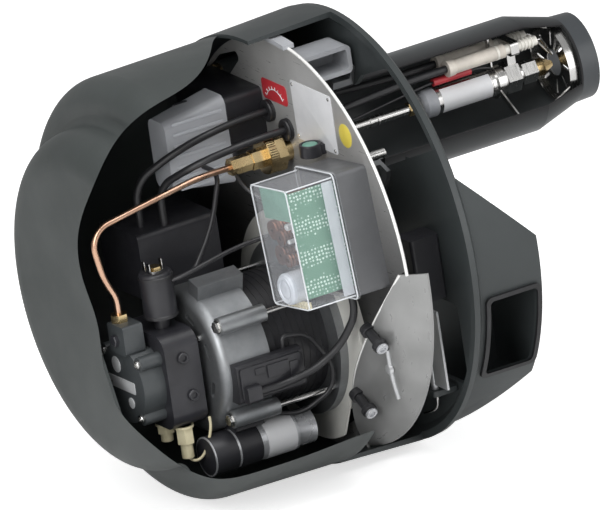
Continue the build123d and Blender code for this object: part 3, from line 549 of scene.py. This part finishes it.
def pillow(outline, edge, depth, origin, right, up):
    """A slab whose outline is drawn in by its edge rounding at both faces.
    Point = origin + x * right + y * up + z * (right x up), with x, y scaled towards the middle."""
    right, up = np.asarray(right, float), np.asarray(up, float)
    out = np.cross(right, up)
    outline = np.asarray(outline, float)
    middle = outline.mean(0)
    reach = np.abs(outline - middle).max(0)
    t = np.linspace(0, np.pi / 2, 4)
    z = np.concatenate([edge * (1 - np.cos(t)), depth - edge * (1 - np.cos(t[::-1]))])
    draw = np.concatenate([edge * (1 - np.sin(t)), edge * (1 - np.sin(t[::-1]))])
    scale = 1 - draw[:, None] / reach
    xy = middle + (outline - middle)[None] * scale[:, None, :]
    points = (np.asarray(origin, float) + xy[..., :1] * right + xy[..., 1:] * up
              + z[:, None, None] * out)
    return points.reshape(-1, 3), closed_grid(len(z), len(outline))


def on_face(outline, depth, place):
    """A slab whose back lies at its place (x, y, z) on a face that looks along -X."""
    return pillow(outline, 0.15, depth, place, NEAR, UP)


def smooth_path(corners, count):
    """A uniform cubic B-spline through clamped ends: each point is the weighted mean of four corners."""
    c = np.asarray(corners, float)
    c = np.concatenate([[2 * c[0] - c[1]], c, [2 * c[-1] - c[-2]]])
    s = np.linspace(0, len(c) - 3 - 1e-9, count)
    i = s.astype(int)
    t = (s - i)[:, None]
    return ((1 - t) ** 3 * c[i] + (3 * t**3 - 6 * t**2 + 4) * c[i + 1]
            + (-3 * t**3 + 3 * t**2 + 3 * t + 1) * c[i + 2] + t**3 * c[i + 3]) / 6


def along_path(path, radius, steps, side=UP):
    """A round wire: a circle of this radius square to the path at each of its points."""
    path = np.asarray(path, float)
    d = np.gradient(path, axis=0)
    d /= np.linalg.norm(d, axis=1)[:, None]
    u = np.cross(np.asarray(side, float)[None], d)
    u /= np.linalg.norm(u, axis=1)[:, None]
    v = np.cross(d, u)
    t = np.linspace(0, 2 * np.pi, steps, endpoint=False)
    points = (path[:, None] + radius * (np.cos(t)[None, :, None] * u[:, None]
                                        + np.sin(t)[None, :, None] * v[:, None]))
    return points.reshape(-1, 3), closed_grid(len(path), steps)


def screw_head(origin, direction, radius, depth):
    """A cheese head with a sunk socket: a turned profile, its radius 0.55 R in the socket."""
    profile = [(0, 0), (0, radius), (0.75 * depth, radius), (depth, 0.88 * radius),
               (depth, 0.55 * radius), (0.45 * depth, 0.5 * radius), (0.45 * depth, 0)]
    return turned(profile, origin, direction, 24)


def wrapped_label(radius, start, end, low, high):
    """A thin label on a cylinder along X, its two layers joined round the rim. A point is
    (x, -R cos a, R sin a), a from low to high."""
    rows, columns = 6, 24
    a = np.radians(np.linspace(low, high, columns))
    x = np.linspace(start, end, rows)
    layers = [np.stack(np.broadcast_arrays(x[:, None], -r * np.cos(a)[None], r * np.sin(a)[None]), -1)
              for r in (radius + 0.02, radius + 0.15)]
    points = np.concatenate([p.reshape(-1, 3) for p in layers])
    count = rows * columns
    inner = grid_faces(rows, columns)
    outer = [[i + count for i in face[::-1]] for face in inner]
    rim = ([(r, 0) for r in range(rows)] + [(rows - 1, c) for c in range(1, columns)]
           + [(r, columns - 1) for r in range(rows - 2, -1, -1)]
           + [(0, c) for c in range(columns - 2, 0, -1)])
    ids = [r * columns + c for r, c in rim]
    walls = [[i, j, j + count, i + count] for i, j in zip(ids, ids[1:] + ids[:1])]
    return points, inner + outer + walls


def body_arc(radius, x, low, high):
    """Points of an arc about the body's axis, its angle counted up from the near side."""
    a = np.radians(np.linspace(low, high, 90))
    x = np.broadcast_to(x, a.shape)
    return np.stack([x, -radius * np.cos(a), BODY_Z + radius * np.sin(a)], -1)


def box_axes():
    """Two unit vectors of the control box, which is rolled about X: across it and up it."""
    roll = np.radians(BOX_ROLL)
    return np.array((0, np.cos(roll), -np.sin(roll))), np.array((0, np.sin(roll), np.cos(roll)))


def box_point(x, y, z):
    """A point x along the burner, y across and z up the box from the box's middle."""
    across, upward = box_axes()
    return np.array(BOX_MIDDLE) + np.array((x, 0, 0)) + across * y + upward * z


def box_loop(x, width, height, radius):
    """A rounded rectangle round the box at x, run on over its start by one point."""
    flat = rounded_outline(width, height, radius, 6)
    return np.array([box_point(x, y, z) for y, z in np.concatenate([flat, flat[:2]])])


# Operators

class BurnerSettings(bpy.types.PropertyGroup):
    """Sizes and colours that a user would change."""
    view_width: bpy.props.FloatProperty(
        name="View width", description="Width of the camera's view", default=0.5254,
        unit="LENGTH", subtype="DISTANCE")
    floor_color: bpy.props.FloatVectorProperty(
        name="Floor", description="Colour of the floor", default=(0.92, 0.92, 0.92),
        subtype="COLOR", size=3, min=0, max=1)


class BURNER_OT_finishes(bpy.types.Operator):
    """Gives every solid its finish"""
    bl_idname = "burner.finishes"
    bl_label = "Finishes"

    def execute(self, context):
        for name, finish in NODE_FINISH.items():
            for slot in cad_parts[name].material_slots:
                slot.material = FINISH[finish]
        return {"FINISHED"}


class BURNER_OT_plate_details(bpy.types.Operator):
    """Adds the bare plates and stickers of the mounting plate, and the bright edges, which are painted
    highlights along the plate's rim and the shroud's edge
    """
    bl_idname = "burner.plate_details"
    bl_label = "Plate details"

    def execute(self, context):
        y, z = DATA_PLATE
        slab = on_face(rounded_outline(72, 55, 3), TAG_DEPTH, (PLATE_BACK, y, z))
        put("data_plate", *slab, "label", "plate_alu")
        rivets = [screw_head((PLATE_BACK - TAG_DEPTH, y + dy, z + dz), BACK, 1.6, 0.8)
                  for dy in (-32, 32) for dz in (-24, 24)]
        put("data_plate_rivets", *join(*rivets), "steel", "bright_steel")
        slab = on_face(rounded_outline(44, 19, 4), TAG_DEPTH, (PLATE_BACK, *SCALE_PLATE))
        put("scale_plate", *slab, "red", "plate_alu")

        def scale_point(angle, reach):
            y = SCALE_PLATE[0] + 16 * reach * np.cos(angle)
            z = SCALE_PLATE[1] - 12 + 14 * reach * np.sin(angle)
            return np.stack(np.broadcast_arrays(PLATE_BACK - 0.7, y, z), -1)

        turns = np.radians(np.linspace(28, 152, 30))
        arc = along_path(scale_point(turns, 1.0), 0.45, 8, FRONT)
        ticks = [along_path([scale_point(a, reach) for reach in (1.0, 1.2)], 0.35, 6, FRONT)
                 for a in turns[::4]]
        put("scale_marks", *join(arc, *ticks), "label", "plate_alu")
        sticker = on_face(round_outline(11), 0.3, (PLATE_BACK, -113, 38))
        put("round_sticker", *sticker, "yellow", "plate_alu")
        # Painted highlight: a near-white wire round the plate's rim.
        rim = along_path(body_arc(187.1, -66.5, 3, 112), 1.5, 10)
        put("plate_rim", *rim, "rim", "plate_alu")
        # Painted highlight: a near-white wire along the shroud's cut edge.
        edge = np.array([(-174, -78), (-157, -103), (-140, -124), (-117, -152), (-93, -181),
                         (-72, -215), (-51, -252), (-34, -278)], float)
        x = np.interp(np.hypot(edge[:, 0], edge[:, 1] - BODY_Z), SHROUD_REACH, SHROUD_X)
        path = smooth_path(np.stack([x, edge[:, 0], edge[:, 1]], -1), 80)
        put("shroud_rim", *along_path(path, 1.3, 10), "rim", "plate_alu")
        return {"FINISHED"}


class BURNER_OT_shroud_details(bpy.types.Operator):
    """Adds the stud screws and collars, the shroud's lever and the duct's sheet and wire"""
    bl_idname = "burner.shroud_details"
    bl_label = "Shroud details"

    def execute(self, context):
        way = np.array(STUD_WAY)
        feet = [np.array(foot, float) for foot in STUD_FEET]
        screws = [screw_head(foot + way * STUD_LENGTH, way, 5.6, 2.2) for foot in feet]
        put("stud_screws", *join(*screws), "can", "bright_steel")
        collar = [(0, 4.6), (0, 6.4), (0.5, 6.9), (4.5, 6.9), (5, 6.4), (5, 4.6), (0, 4.6)]
        rings = [turned(collar, foot + way * along, way, 32) for foot in feet for along in (2.0, 22.0)]
        put("stud_collars", *join(*rings), "rubber", "rubber")
        path = smooth_path([(-75.8, -146, -152), (-74, -143, -166), (-71.4, -139, -182),
                            (-65.8, -134, -203)], 30)
        pivot = turned([(0, 0), (0, 5.0), (3.0, 4.4), (3.4, 3.0), (3.4, 0)], (-72.5, -141, -172),
                       BACK, 32)
        put("shroud_lever", *join(along_path(path, 2.2, 12), pivot), "zinc", "bright_steel")
        corners = [(68, -189), (107, -177), (94, -211), (36, -257)]
        duct = pillow(corners, 0.3, 1.4, (-14, 0, 0), NEAR, UP)
        put("duct_sheet", *duct, "shroud", "plate_alu", smooth=False)
        path = smooth_path([(-13, -96, -178), (-13, -100, -184), (-12, -105, -228),
                            (-12, -100, -238), (-12, -74, -247)], 40)
        put("lever_wire", *along_path(path, 1.2, 10), "steel", "bright_steel")
        return {"FINISHED"}


class BURNER_OT_pump_details(bpy.types.Operator):
    """Adds the pump's screws, bare plates, plug clip and washers"""
    bl_idname = "burner.pump_details"
    bl_label = "Pump details"

    def execute(self, context):
        screws = [screw_head((PUMP_BACK + 1, y, z), BACK, 4.0, 2.6)
                  for y, z in ((-30, -138), (30, -138), (-23, -190), (23, -190))]
        put("pump_screws", *join(*screws), "steel", "bright_steel")
        plates = (("pump_name_plate", rounded_outline(46, 11, 1.5), 0.5, 3, -163),
                  ("pump_round_plate", round_outline(7.5), 0.5, 9, -146),
                  ("pump_arc_plate", round_outline(5.0), 0.8, -10, -178))
        for name, outline, depth, y, z in plates:
            put(name, *on_face(outline, depth, (PUMP_BACK, y, z)), "silver", "bright_steel")
        outlet = turned([(0, 0), (0, 5.5), (3.2, 5.5), (4, 4.6), (4, 0)], OUTLET, BACK, 6)
        put("outlet_plug", *outlet, "pump", "pump_black", smooth=False)
        side = [screw_head((x, PUMP_NEAR_SIDE, z), NEAR, 5.2, 3.0)
                for x, z in ((-223, -140), (-218, -176))]
        put("pump_side_plugs", *join(*side), "pump", "pump_black")
        clip = smooth_path([(-225, -29, -234), (-222, -31, -240), (-214, -36, -238), (-208, -40, -222),
                            (-205, -42.5, -208), (-206, -42.8, -200)], 60)
        put("plug_clip", *along_path(clip, 1.3, 10), "cream", "cream_plastic")
        washers = [turned(disc(9, 2), (x, y, PUMP_UNDERSIDE), DOWN, 24)
                   for x, y in ((-232, -8), (-225, -29))]
        put("plug_washers", *join(*washers), "cream", "cream_plastic")
        return {"FINISHED"}


class BURNER_OT_coil_details(bpy.types.Operator):
    """Adds the solenoid coil's rings, tabs and washer"""
    bl_idname = "burner.coil_details"
    bl_label = "Coil details"

    def execute(self, context):
        profile = [(0, 14.8), (0, 15.6), (2.4, 15.6), (3.0, 15.0), (3.0, 14.8)]
        rings = [turned(profile, (*COIL, z), UP, 48) for z in (COIL_FOOT, COIL_TOP - 6.5)]
        put("coil_rings", *join(*rings), "rubber", "black_plastic")
        x, y = COIL
        tabs = [pillow(rounded_outline(5, 9, 1, 4), 0.2, 1.0, (x + dx, y + dy, COIL_TOP + 4.5),
                       (0, 1, 0), UP) for dx, dy in ((-8, 5), (-8, -4), (7, 1))]
        put("coil_tabs", *join(*tabs), "steel", "bright_steel")
        put("coil_washer", *turned(disc(8.2, 1.2), (x, y, COIL_TOP), UP, 36), "steel", "bright_steel")
        return {"FINISHED"}


class BURNER_OT_capacitor_details(bpy.types.Operator):
    """Adds the capacitor's cap, bare label and crimp, all turned round its own axis"""
    bl_idname = "burner.capacitor_details"
    bl_label = "Capacitor details"

    def execute(self, context):
        profile = [(-212.6, 0), (-212.6, 15.5), (-211.6, 17.6), (-210.2, 18.25), (-188.0, 18.25),
                   (-187.6, 17.9), (-185.8, 17.9), (-185.4, 18.35), (-165.4, 18.35), (-164.8, 17.7),
                   (-163.6, 17.6), (-163.6, 0)]
        put("capacitor_cap", *turned(profile, (0, *CAN_AXIS), FRONT, 56), "black", "black_plastic")
        label = turned(hoop(CAN_RADIUS, CAN_RADIUS + 0.2, 29), (-158, *CAN_AXIS), FRONT, 56)
        put("capacitor_label", *label, "label", "can_grey")
        crimp = [(-128.4, 16), (-128.4, 17.8), (-126.6, 17.8), (-126.0, 16.9), (-126.0, 16),
                 (-128.4, 16)]
        put("capacitor_crimp", *turned(crimp, (0, *CAN_AXIS), FRONT, 56), "can", "can_grey")
        return {"FINISHED"}


class BURNER_OT_motor_details(bpy.types.Operator):
    """Adds the terminal box's lid and the motor's washers, screws and ridges"""
    bl_idname = "burner.motor_details"
    bl_label = "Motor details"

    def execute(self, context):
        x, y, z = LID_BACK
        lid = pillow(rounded_outline(62, 30, 3), 0.5, LID_DEPTH, LID_BACK, FRONT, UP)
        latch = [pillow(rounded_outline(width, height, 1), 0.3, depth,
                        (x + dx, y - LID_DEPTH, z + dz), FRONT, UP)
                 for dx, dz, width, height, depth in ((6.5, 6, 22, 12, 1.6), (22.5, -1, 9, 20, 1.2),
                                                      (-11.5, 9, 10, 6, 1.2))]
        put("terminal_lid", *join(lid, *latch), "black", "black_plastic")
        washers = [turned(hoop(2.6, 6.2, 1.0), (BOSS_FACE, y, MOTOR_Z + dz), BACK, 24)
                   for y in (-58, 58) for dz in (-43.5, 43.5)]
        put("bolt_washers", *join(*washers), "steel", "bright_steel")
        heads = [screw_head((SHELL_BACK, y, -132), BACK, 3.2, 2.2) for y in (-30, 30)]
        put("shell_screws", *join(*heads), "steel", "bright_steel")
        ridges = [turned(hoop(STATOR_RADIUS, STATOR_RADIUS + 1, 0.8), (x, 0, MOTOR_Z), FRONT, 72)
                  for x in np.arange(-139, -90, 6.5)]
        put("stator_ridges", *join(*ridges), "stator", "stator_black")
        return {"FINISHED"}


class BURNER_OT_electrode_details(bpy.types.Operator):
    """Adds the ribs of the two electrodes' sleeves and the cuffs and tips of their boots"""
    bl_idname = "burner.electrode_details"
    bl_label = "Electrode details"

    def execute(self, context):
        rib = [(0, 4.4), (0, 5.0), (0.5, 5.7), (1.4, 5.7), (1.9, 5.0), (1.9, 4.4), (0, 4.4)]
        ribs = [turned(rib, (x, y, ELECTRODE_Z), FRONT, 32)
                for y in ELECTRODE_Y for x in (166.5, 170.0, 173.5, 177.0)]
        put("sleeve_ribs", *join(*ribs), "ceramic", "ceramic_white")
        cuff = [(0, 6.4), (0, 7.4), (0.6, 7.8), (7.0, 7.3), (8.0, 6.4), (0, 6.4)]
        cuffs = [turned(cuff, (BOOTS_BACK, y, ELECTRODE_Z), FRONT, 32) for y in ELECTRODE_Y]
        put("boot_cuffs", *join(*cuffs), "sleeve", "rubber")
        tip = [(0, 6.4), (0, 6.9), (9, 5.4), (9, 4.6), (0, 6.4)]
        tips = [turned(tip, (141.5, y, ELECTRODE_Z), FRONT, 32) for y in ELECTRODE_Y]
        put("boot_tips", *join(*tips), "ceramic", "ceramic_white")
        return {"FINISHED"}


class BURNER_OT_line_details(bpy.types.Operator):
    """Adds the preheater's label, cap, bands and wires, and the oil line's nut, rings and knurl"""
    bl_idname = "burner.line_details"
    bl_label = "Oil line details"

    def execute(self, context):
        label = wrapped_label(HEATER_RADIUS, 84, 134, -52, 62)
        put("preheater_label", *label, "label", "bright_steel")
        cap = [(66, 7.0), (66, 10.0), (68, 12.4), (69, 13.1), (79, 13.1), (80, 12.6), (80, 12.0),
               (66, 7.0)]
        put("preheater_cap", *turned(cap, (0, 0, 0), FRONT, 48), "grey", "black_plastic")
        bands = [turned(hoop(HEATER_RADIUS - 0.1, HEATER_RADIUS + 0.5, width), (x, 0, 0), FRONT, 48)
                 for x, width in ((135, 2.0), (147.0, 2.6))]
        put("preheater_bands", *join(*bands), "steel", "bright_steel")
        start, end = (80, -4, 18.5), (118, -4, 18.5)
        red = along_path([start, (92, -4, 18.5), (104, -4, 18.5), end], 3.6, 20)
        put("red_sleeve", *red, "red", "rubber")
        front = smooth_path([end, (128, -4, 18.2), (138, -3, 15), (141, -3, 13)], 30)
        back = smooth_path([start, (60, -5, 17), (20, -6, 12), (-20, -6, 7), (-64, -6, 5)], 60)
        put("heater_wires", *join(along_path(front, 1.0, 8), along_path(back, 1.2, 8)),
            "rubber", "rubber")
        nut = turned(hoop(LINE_RADIUS, 6.4, 6), (54, 0, 0), FRONT, 6)
        put("line_nut", *nut, "brass", "brass", smooth=False)
        rings = [turned(hoop(LINE_RADIUS, 5.2, 2), (x, 0, 0), FRONT, 32) for x in (14, 22)]
        put("line_rings", *join(*rings), "steel", "bright_steel")
        count = 96
        turns = np.linspace(0, 2 * np.pi, count, endpoint=False)
        radius = UNION_RADIUS + 0.35 * (np.arange(count) % 2)
        knurl = [np.stack(np.broadcast_arrays(x, radius * np.cos(turns), radius * np.sin(turns)), -1)
                 for x in (-93.2, -85.8)]
        put("union_knurl", np.concatenate(knurl), closed_grid(2, count), "brass", "brass", smooth=False)
        return {"FINISHED"}


class BURNER_OT_cover_details(bpy.types.Operator):
    """Adds the clear cover's bright edges and skirt, and the reset button's rim and lens"""
    bl_idname = "burner.cover_details"
    bl_label = "Cover details"

    def execute(self, context):
        upward = box_axes()[1]
        edges = [along_path(box_loop(COVER_BACK, 65, 109, 4), 0.7, 8, FRONT),
                 along_path(box_loop(COVER_FRONT, 71, 115, 5), 0.7, 8, FRONT)]
        for y in (-31.9, 31.9):
            for z in (-53.9, 53.9):
                edges.append(along_path([box_point(x, y, z) for x in (COVER_BACK, COVER_FRONT)], 0.7, 8))
        put("cover_edges", *join(*edges), "clear_edge", "clear_plastic")
        skirt = pillow(rounded_outline(11, 104, 1, 3), 0.2, 0.6, box_point(-108, -32.1, 0),
                       FRONT, upward)
        put("cover_skirt", *skirt, "haze", "clear_plastic")
        centre = box_point(BUTTON_BACK, -1, -37.5)
        rim = turned([(0, 8.5), (0, 12.4), (0.9, 12.0), (0.9, 9.2), (0, 8.5)], centre, BACK)
        put("button_rim", *rim, "button", "button_plastic", body="button")
        lens = turned([(-0.2, 0), (-0.2, 8.4), (0.5, 7.6), (1.0, 5.0), (1.2, 0)], centre, BACK)
        put("button_lens", *lens, "button", "button_plastic", body="button")
        return {"FINISHED"}


class BURNER_OT_board_details(bpy.types.Operator):
    """Adds the parts, sockets, windings, chokes and cans that stand on the circuit board"""
    bl_idname = "burner.board_details"
    bl_label = "Board details"

    def execute(self, context):
        across, upward = box_axes()
        rng = np.random.default_rng(7)
        parts = []
        for z in np.arange(-44, 45, 11.0):
            for x in (-108, -117, -126, -136):
                radius = 1.6 + 1.6 * rng.random()
                length = 3 + 5 * rng.random()
                place = box_point(x + 3 * rng.random(), -25.1, z + 3 * rng.random())
                parts.append(turned(disc(radius, length), place, across, 16))
        put("board_parts", *join(*parts), "brown", "relay_plastic")
        sockets = [pillow(rounded_outline(3.4, 3.4, 0.5, 3), 0.2, 6,
                          box_point(-143, -21 + 5.2 * i, -50), BACK, across) for i in range(8)]
        put("board_sockets", *join(*sockets), "cream", "cream_plastic")
        windings = [turned(hoop(5, 9.2, 2.2), box_point(-112 - 3.6 * i, 12, 32), BACK, 32)
                    for i in range(6)]
        put("coil_windings", *join(*windings), "brown", "copper")
        card = pillow(rounded_outline(50, 28, 1, 3), 0.2, 1.2, box_point(-144, -0.5, 38), -across,
                      upward)
        put("board_card", *card, "card", "board_green")
        wound = [turned([(0, 2), (0, size), (1.6, size + 0.5), (3.0, size), (3.0, 2), (0, 2)],
                        box_point(-128 - 3.1 * i, y, z), BACK, 28)
                 for y, z, size in ((20, 12, 8.5), (8, 6, 7.5), (14, -10, 9.0), (2, -14, 6.0))
                 for i in range(5)]
        put("board_chokes", *join(*wound), "wire", "copper")
        cans = [turned([(0, 0), (0, size), (length, size), (length + 0.8, size - 0.8),
                        (length + 0.8, 0)], box_point(-129, y, z), BACK, 24)
                for y, z, size, length in ((-6, 17, 3.2, 13), (-14, 14, 2.6, 11), (-3, 3, 2.2, 12),
                                           (-12, -2, 3.0, 10), (-19, 4, 2.4, 12))]
        put("board_cans", *join(*cans), "silver", "can_grey")
        return {"FINISHED"}


class BURNER_OT_plug_details(bpy.types.Operator):
    """Adds the plug housing's ribs and slot"""
    bl_idname = "burner.plug_details"
    bl_label = "Plug details"

    def execute(self, context):
        ribs = [pillow(rounded_outline(50, 3.0, 1.4, 4), 0.4, 1.2, (-134, 37.2, z), (1, -0.04, 0), UP)
                for z in np.arange(-20, 41, 10.0)]
        put("plug_ribs", *join(*ribs), "plug", "plug_plastic")
        recess = pillow(rounded_outline(15, 4, 1.8), 0.2, 0.6, (-140, 53, 51.6), FRONT, (0, 1, 0))
        put("plug_slot", *recess, "black", "black_plastic")
        return {"FINISHED"}


class BURNER_OT_lead_details(bpy.types.Operator):
    """Adds the grommets' lips, the leads behind the plate and the flame detector's lens"""
    bl_idname = "burner.lead_details"
    bl_label = "Lead details"

    def execute(self, context):
        lip = [(0, 3.7), (0.4, 8.2), (0, 9.6), (1.2, 10.2), (2.4, 9.6), (2.8, 7.0), (2.4, 4.6),
               (1.6, 3.7), (0, 3.7)]
        lips = [turned(lip, (PLATE_BACK - 2.5, y, z), BACK) for y, z in ((23, 31), (-7, 20))]
        put("grommet_lips", *join(*lips), "rubber", "rubber")
        supply = smooth_path([(-84, -79, -62), (-86, -60, -58), (-104, -36, -58), (-140, -26, -62),
                              (-176, -30, -66), (-200, -28, -72), (-210, -20, -76)], 70)
        put("supply_lead", *along_path(supply, 2.2, 14), "rubber", "rubber")
        sense = smooth_path([(-84, -79, -50), (-86, -62, -40), (-100, -42, -32), (-118, -34, -26),
                             (-128, -20, -14), (-124, 0, -6), (-112, 18, -2), (-104, 30, 6)], 70)
        put("detector_lead", *along_path(sense, 1.8, 14), "rubber", "rubber")
        lens = turned([(0, 0), (0, 7.2), (0.8, 6.6), (1.4, 4.0), (1.6, 0)], DETECTOR_TOP, UP, 32)
        put("detector_lens", *lens, "card", "board_green")
        rim = turned([(0, 7.4), (0, 9.8), (1.0, 9.6), (1.0, 7.6), (0, 7.4)], DETECTOR_TOP, UP)
        put("detector_rim", *rim, "black", "black_plastic")
        return {"FINISHED"}


def lay_floor(scene, color):
    """A wide plain floor, which also glows a little to the camera and through clear pieces."""
    material, tree, shader = start_finish("floor_white")
    shader.inputs["Base Color"].default_value = (*color, 1)
    shader.inputs["Roughness"].default_value = 0.9
    shader.inputs["Specular IOR Level"].default_value = 0.0
    glow = tree.nodes.new("ShaderNodeEmission")
    glow.inputs["Color"].default_value = (1, 1, 1, 1)
    rays = tree.nodes.new("ShaderNodeLightPath").outputs
    seen = add_math(tree, "MAXIMUM", rays["Is Camera Ray"], rays["Is Transmission Ray"])
    feed(tree, add_math(tree, "MULTIPLY", seen, FLOOR_GLOW), glow.inputs["Strength"])
    both = tree.nodes.new("ShaderNodeAddShader")
    feed(tree, shader.outputs["BSDF"], both.inputs[0])
    feed(tree, glow.outputs["Emission"], both.inputs[1])
    feed(tree, both.outputs["Shader"], tree.nodes["Material Output"].inputs["Surface"])
    half, z = FLOOR_HALF, cad_bounds[0][2] / MM - FLOOR_GAP
    points = np.array([(-half, -half, z), (half, -half, z), (half, half, z), (-half, half, z)]) * MM
    mesh = bpy.data.meshes.new("floor")
    mesh.from_pydata(points.tolist(), [], [(0, 1, 2, 3)])
    mesh.materials.append(material)
    floor = bpy.data.objects.new("floor", mesh)
    scene.collection.objects.link(floor)


def add_camera(scene, width):
    """A camera without perspective, at right * aim[0] + up * aim[1] + toward * distance."""
    axes = (np.array(axis) for axis in (CAMERA_RIGHT, CAMERA_UP, CAMERA_TOWARD))
    right, up, toward = (axis / np.linalg.norm(axis) for axis in axes)
    place = (right * CAMERA_AIM[0] + up * CAMERA_AIM[1] + toward * CAMERA_DISTANCE) * MM
    lens = bpy.data.cameras.new("camera")
    lens.type = "ORTHO"
    lens.ortho_scale = width
    lens.clip_end = 50
    camera = bpy.data.objects.new("camera", lens)
    rows = [(right[i], up[i], toward[i], place[i]) for i in range(3)]
    camera.matrix_world = Matrix((*rows, (0, 0, 0, 1)))
    scene.collection.objects.link(camera)
    scene.camera = camera


def hang_lamps(scene):
    """Wide soft lamps that all point at the burner's middle."""
    for name, spot, size, watts in LAMPS:
        light = bpy.data.lights.new(name, "AREA")
        light.shape = "RECTANGLE"
        light.size, light.size_y = size[0] * MM, size[1] * MM
        light.energy = watts
        lamp = bpy.data.objects.new(name, light)
        lamp.location = Vector(spot) * MM
        aim = Vector(LAMP_AIM) - Vector(spot)
        lamp.rotation_euler = aim.to_track_quat("-Z", "Y").to_euler()
        scene.collection.objects.link(lamp)


def make_world(scene):
    """A white room, at full level where the camera sees it and dimmer as a light."""
    world = bpy.data.worlds.new("studio")
    world.use_nodes = True
    tree = world.node_tree
    sky = tree.nodes["Background"]
    sky.inputs["Color"].default_value = (1, 1, 1, 1)
    rays = tree.nodes.new("ShaderNodeLightPath").outputs
    feed(tree, add_ramp(tree, rays["Is Camera Ray"], 0, 1, ROOM_LEVEL, 1.0), sky.inputs["Strength"])
    scene.world = world


class BURNER_OT_stage(bpy.types.Operator):
    """Adds the floor, camera, lamps and world"""
    bl_idname = "burner.stage"
    bl_label = "Stage"

    def execute(self, context):
        scene = context.scene
        lay_floor(scene, scene.burner.floor_color)
        add_camera(scene, scene.burner.view_width)
        hang_lamps(scene)
        make_world(scene)
        scene.view_settings.view_transform = "Standard"
        return {"FINISHED"}


class BURNER_PT_panel(bpy.types.Panel):
    """Lists the steps that dress the burner"""
    bl_idname = "BURNER_PT_panel"
    bl_label = "Cutaway oil burner"
    bl_space_type = "VIEW_3D"
    bl_region_type = "UI"
    bl_category = "Burner"

    def draw(self, context):
        column = self.layout.column()
        column.prop(context.scene.burner, "view_width")
        column.prop(context.scene.burner, "floor_color")
        for step in STEPS:
            column.operator(step.bl_idname)


STEPS = (BURNER_OT_finishes, BURNER_OT_plate_details, BURNER_OT_shroud_details,
         BURNER_OT_pump_details, BURNER_OT_coil_details, BURNER_OT_capacitor_details,
         BURNER_OT_motor_details, BURNER_OT_electrode_details, BURNER_OT_line_details,
         BURNER_OT_cover_details, BURNER_OT_board_details, BURNER_OT_plug_details,
         BURNER_OT_lead_details, BURNER_OT_stage)


def register():
    """Registers the settings, the steps and the panel."""
    for item in (BurnerSettings, *STEPS, BURNER_PT_panel):
        bpy.utils.register_class(item)
    bpy.types.Scene.burner = bpy.props.PointerProperty(type=BurnerSettings)


def unregister():
    """Takes them out again."""
    del bpy.types.Scene.burner
    for item in (BURNER_PT_panel, *STEPS[::-1], BurnerSettings):
        bpy.utils.unregister_class(item)


def main():
    """Dresses the burner step by step."""
    register()
    for step in STEPS:
        group, name = step.bl_idname.split(".")
        getattr(getattr(bpy.ops, group), name)()


if __name__ == "__main__":
    main()
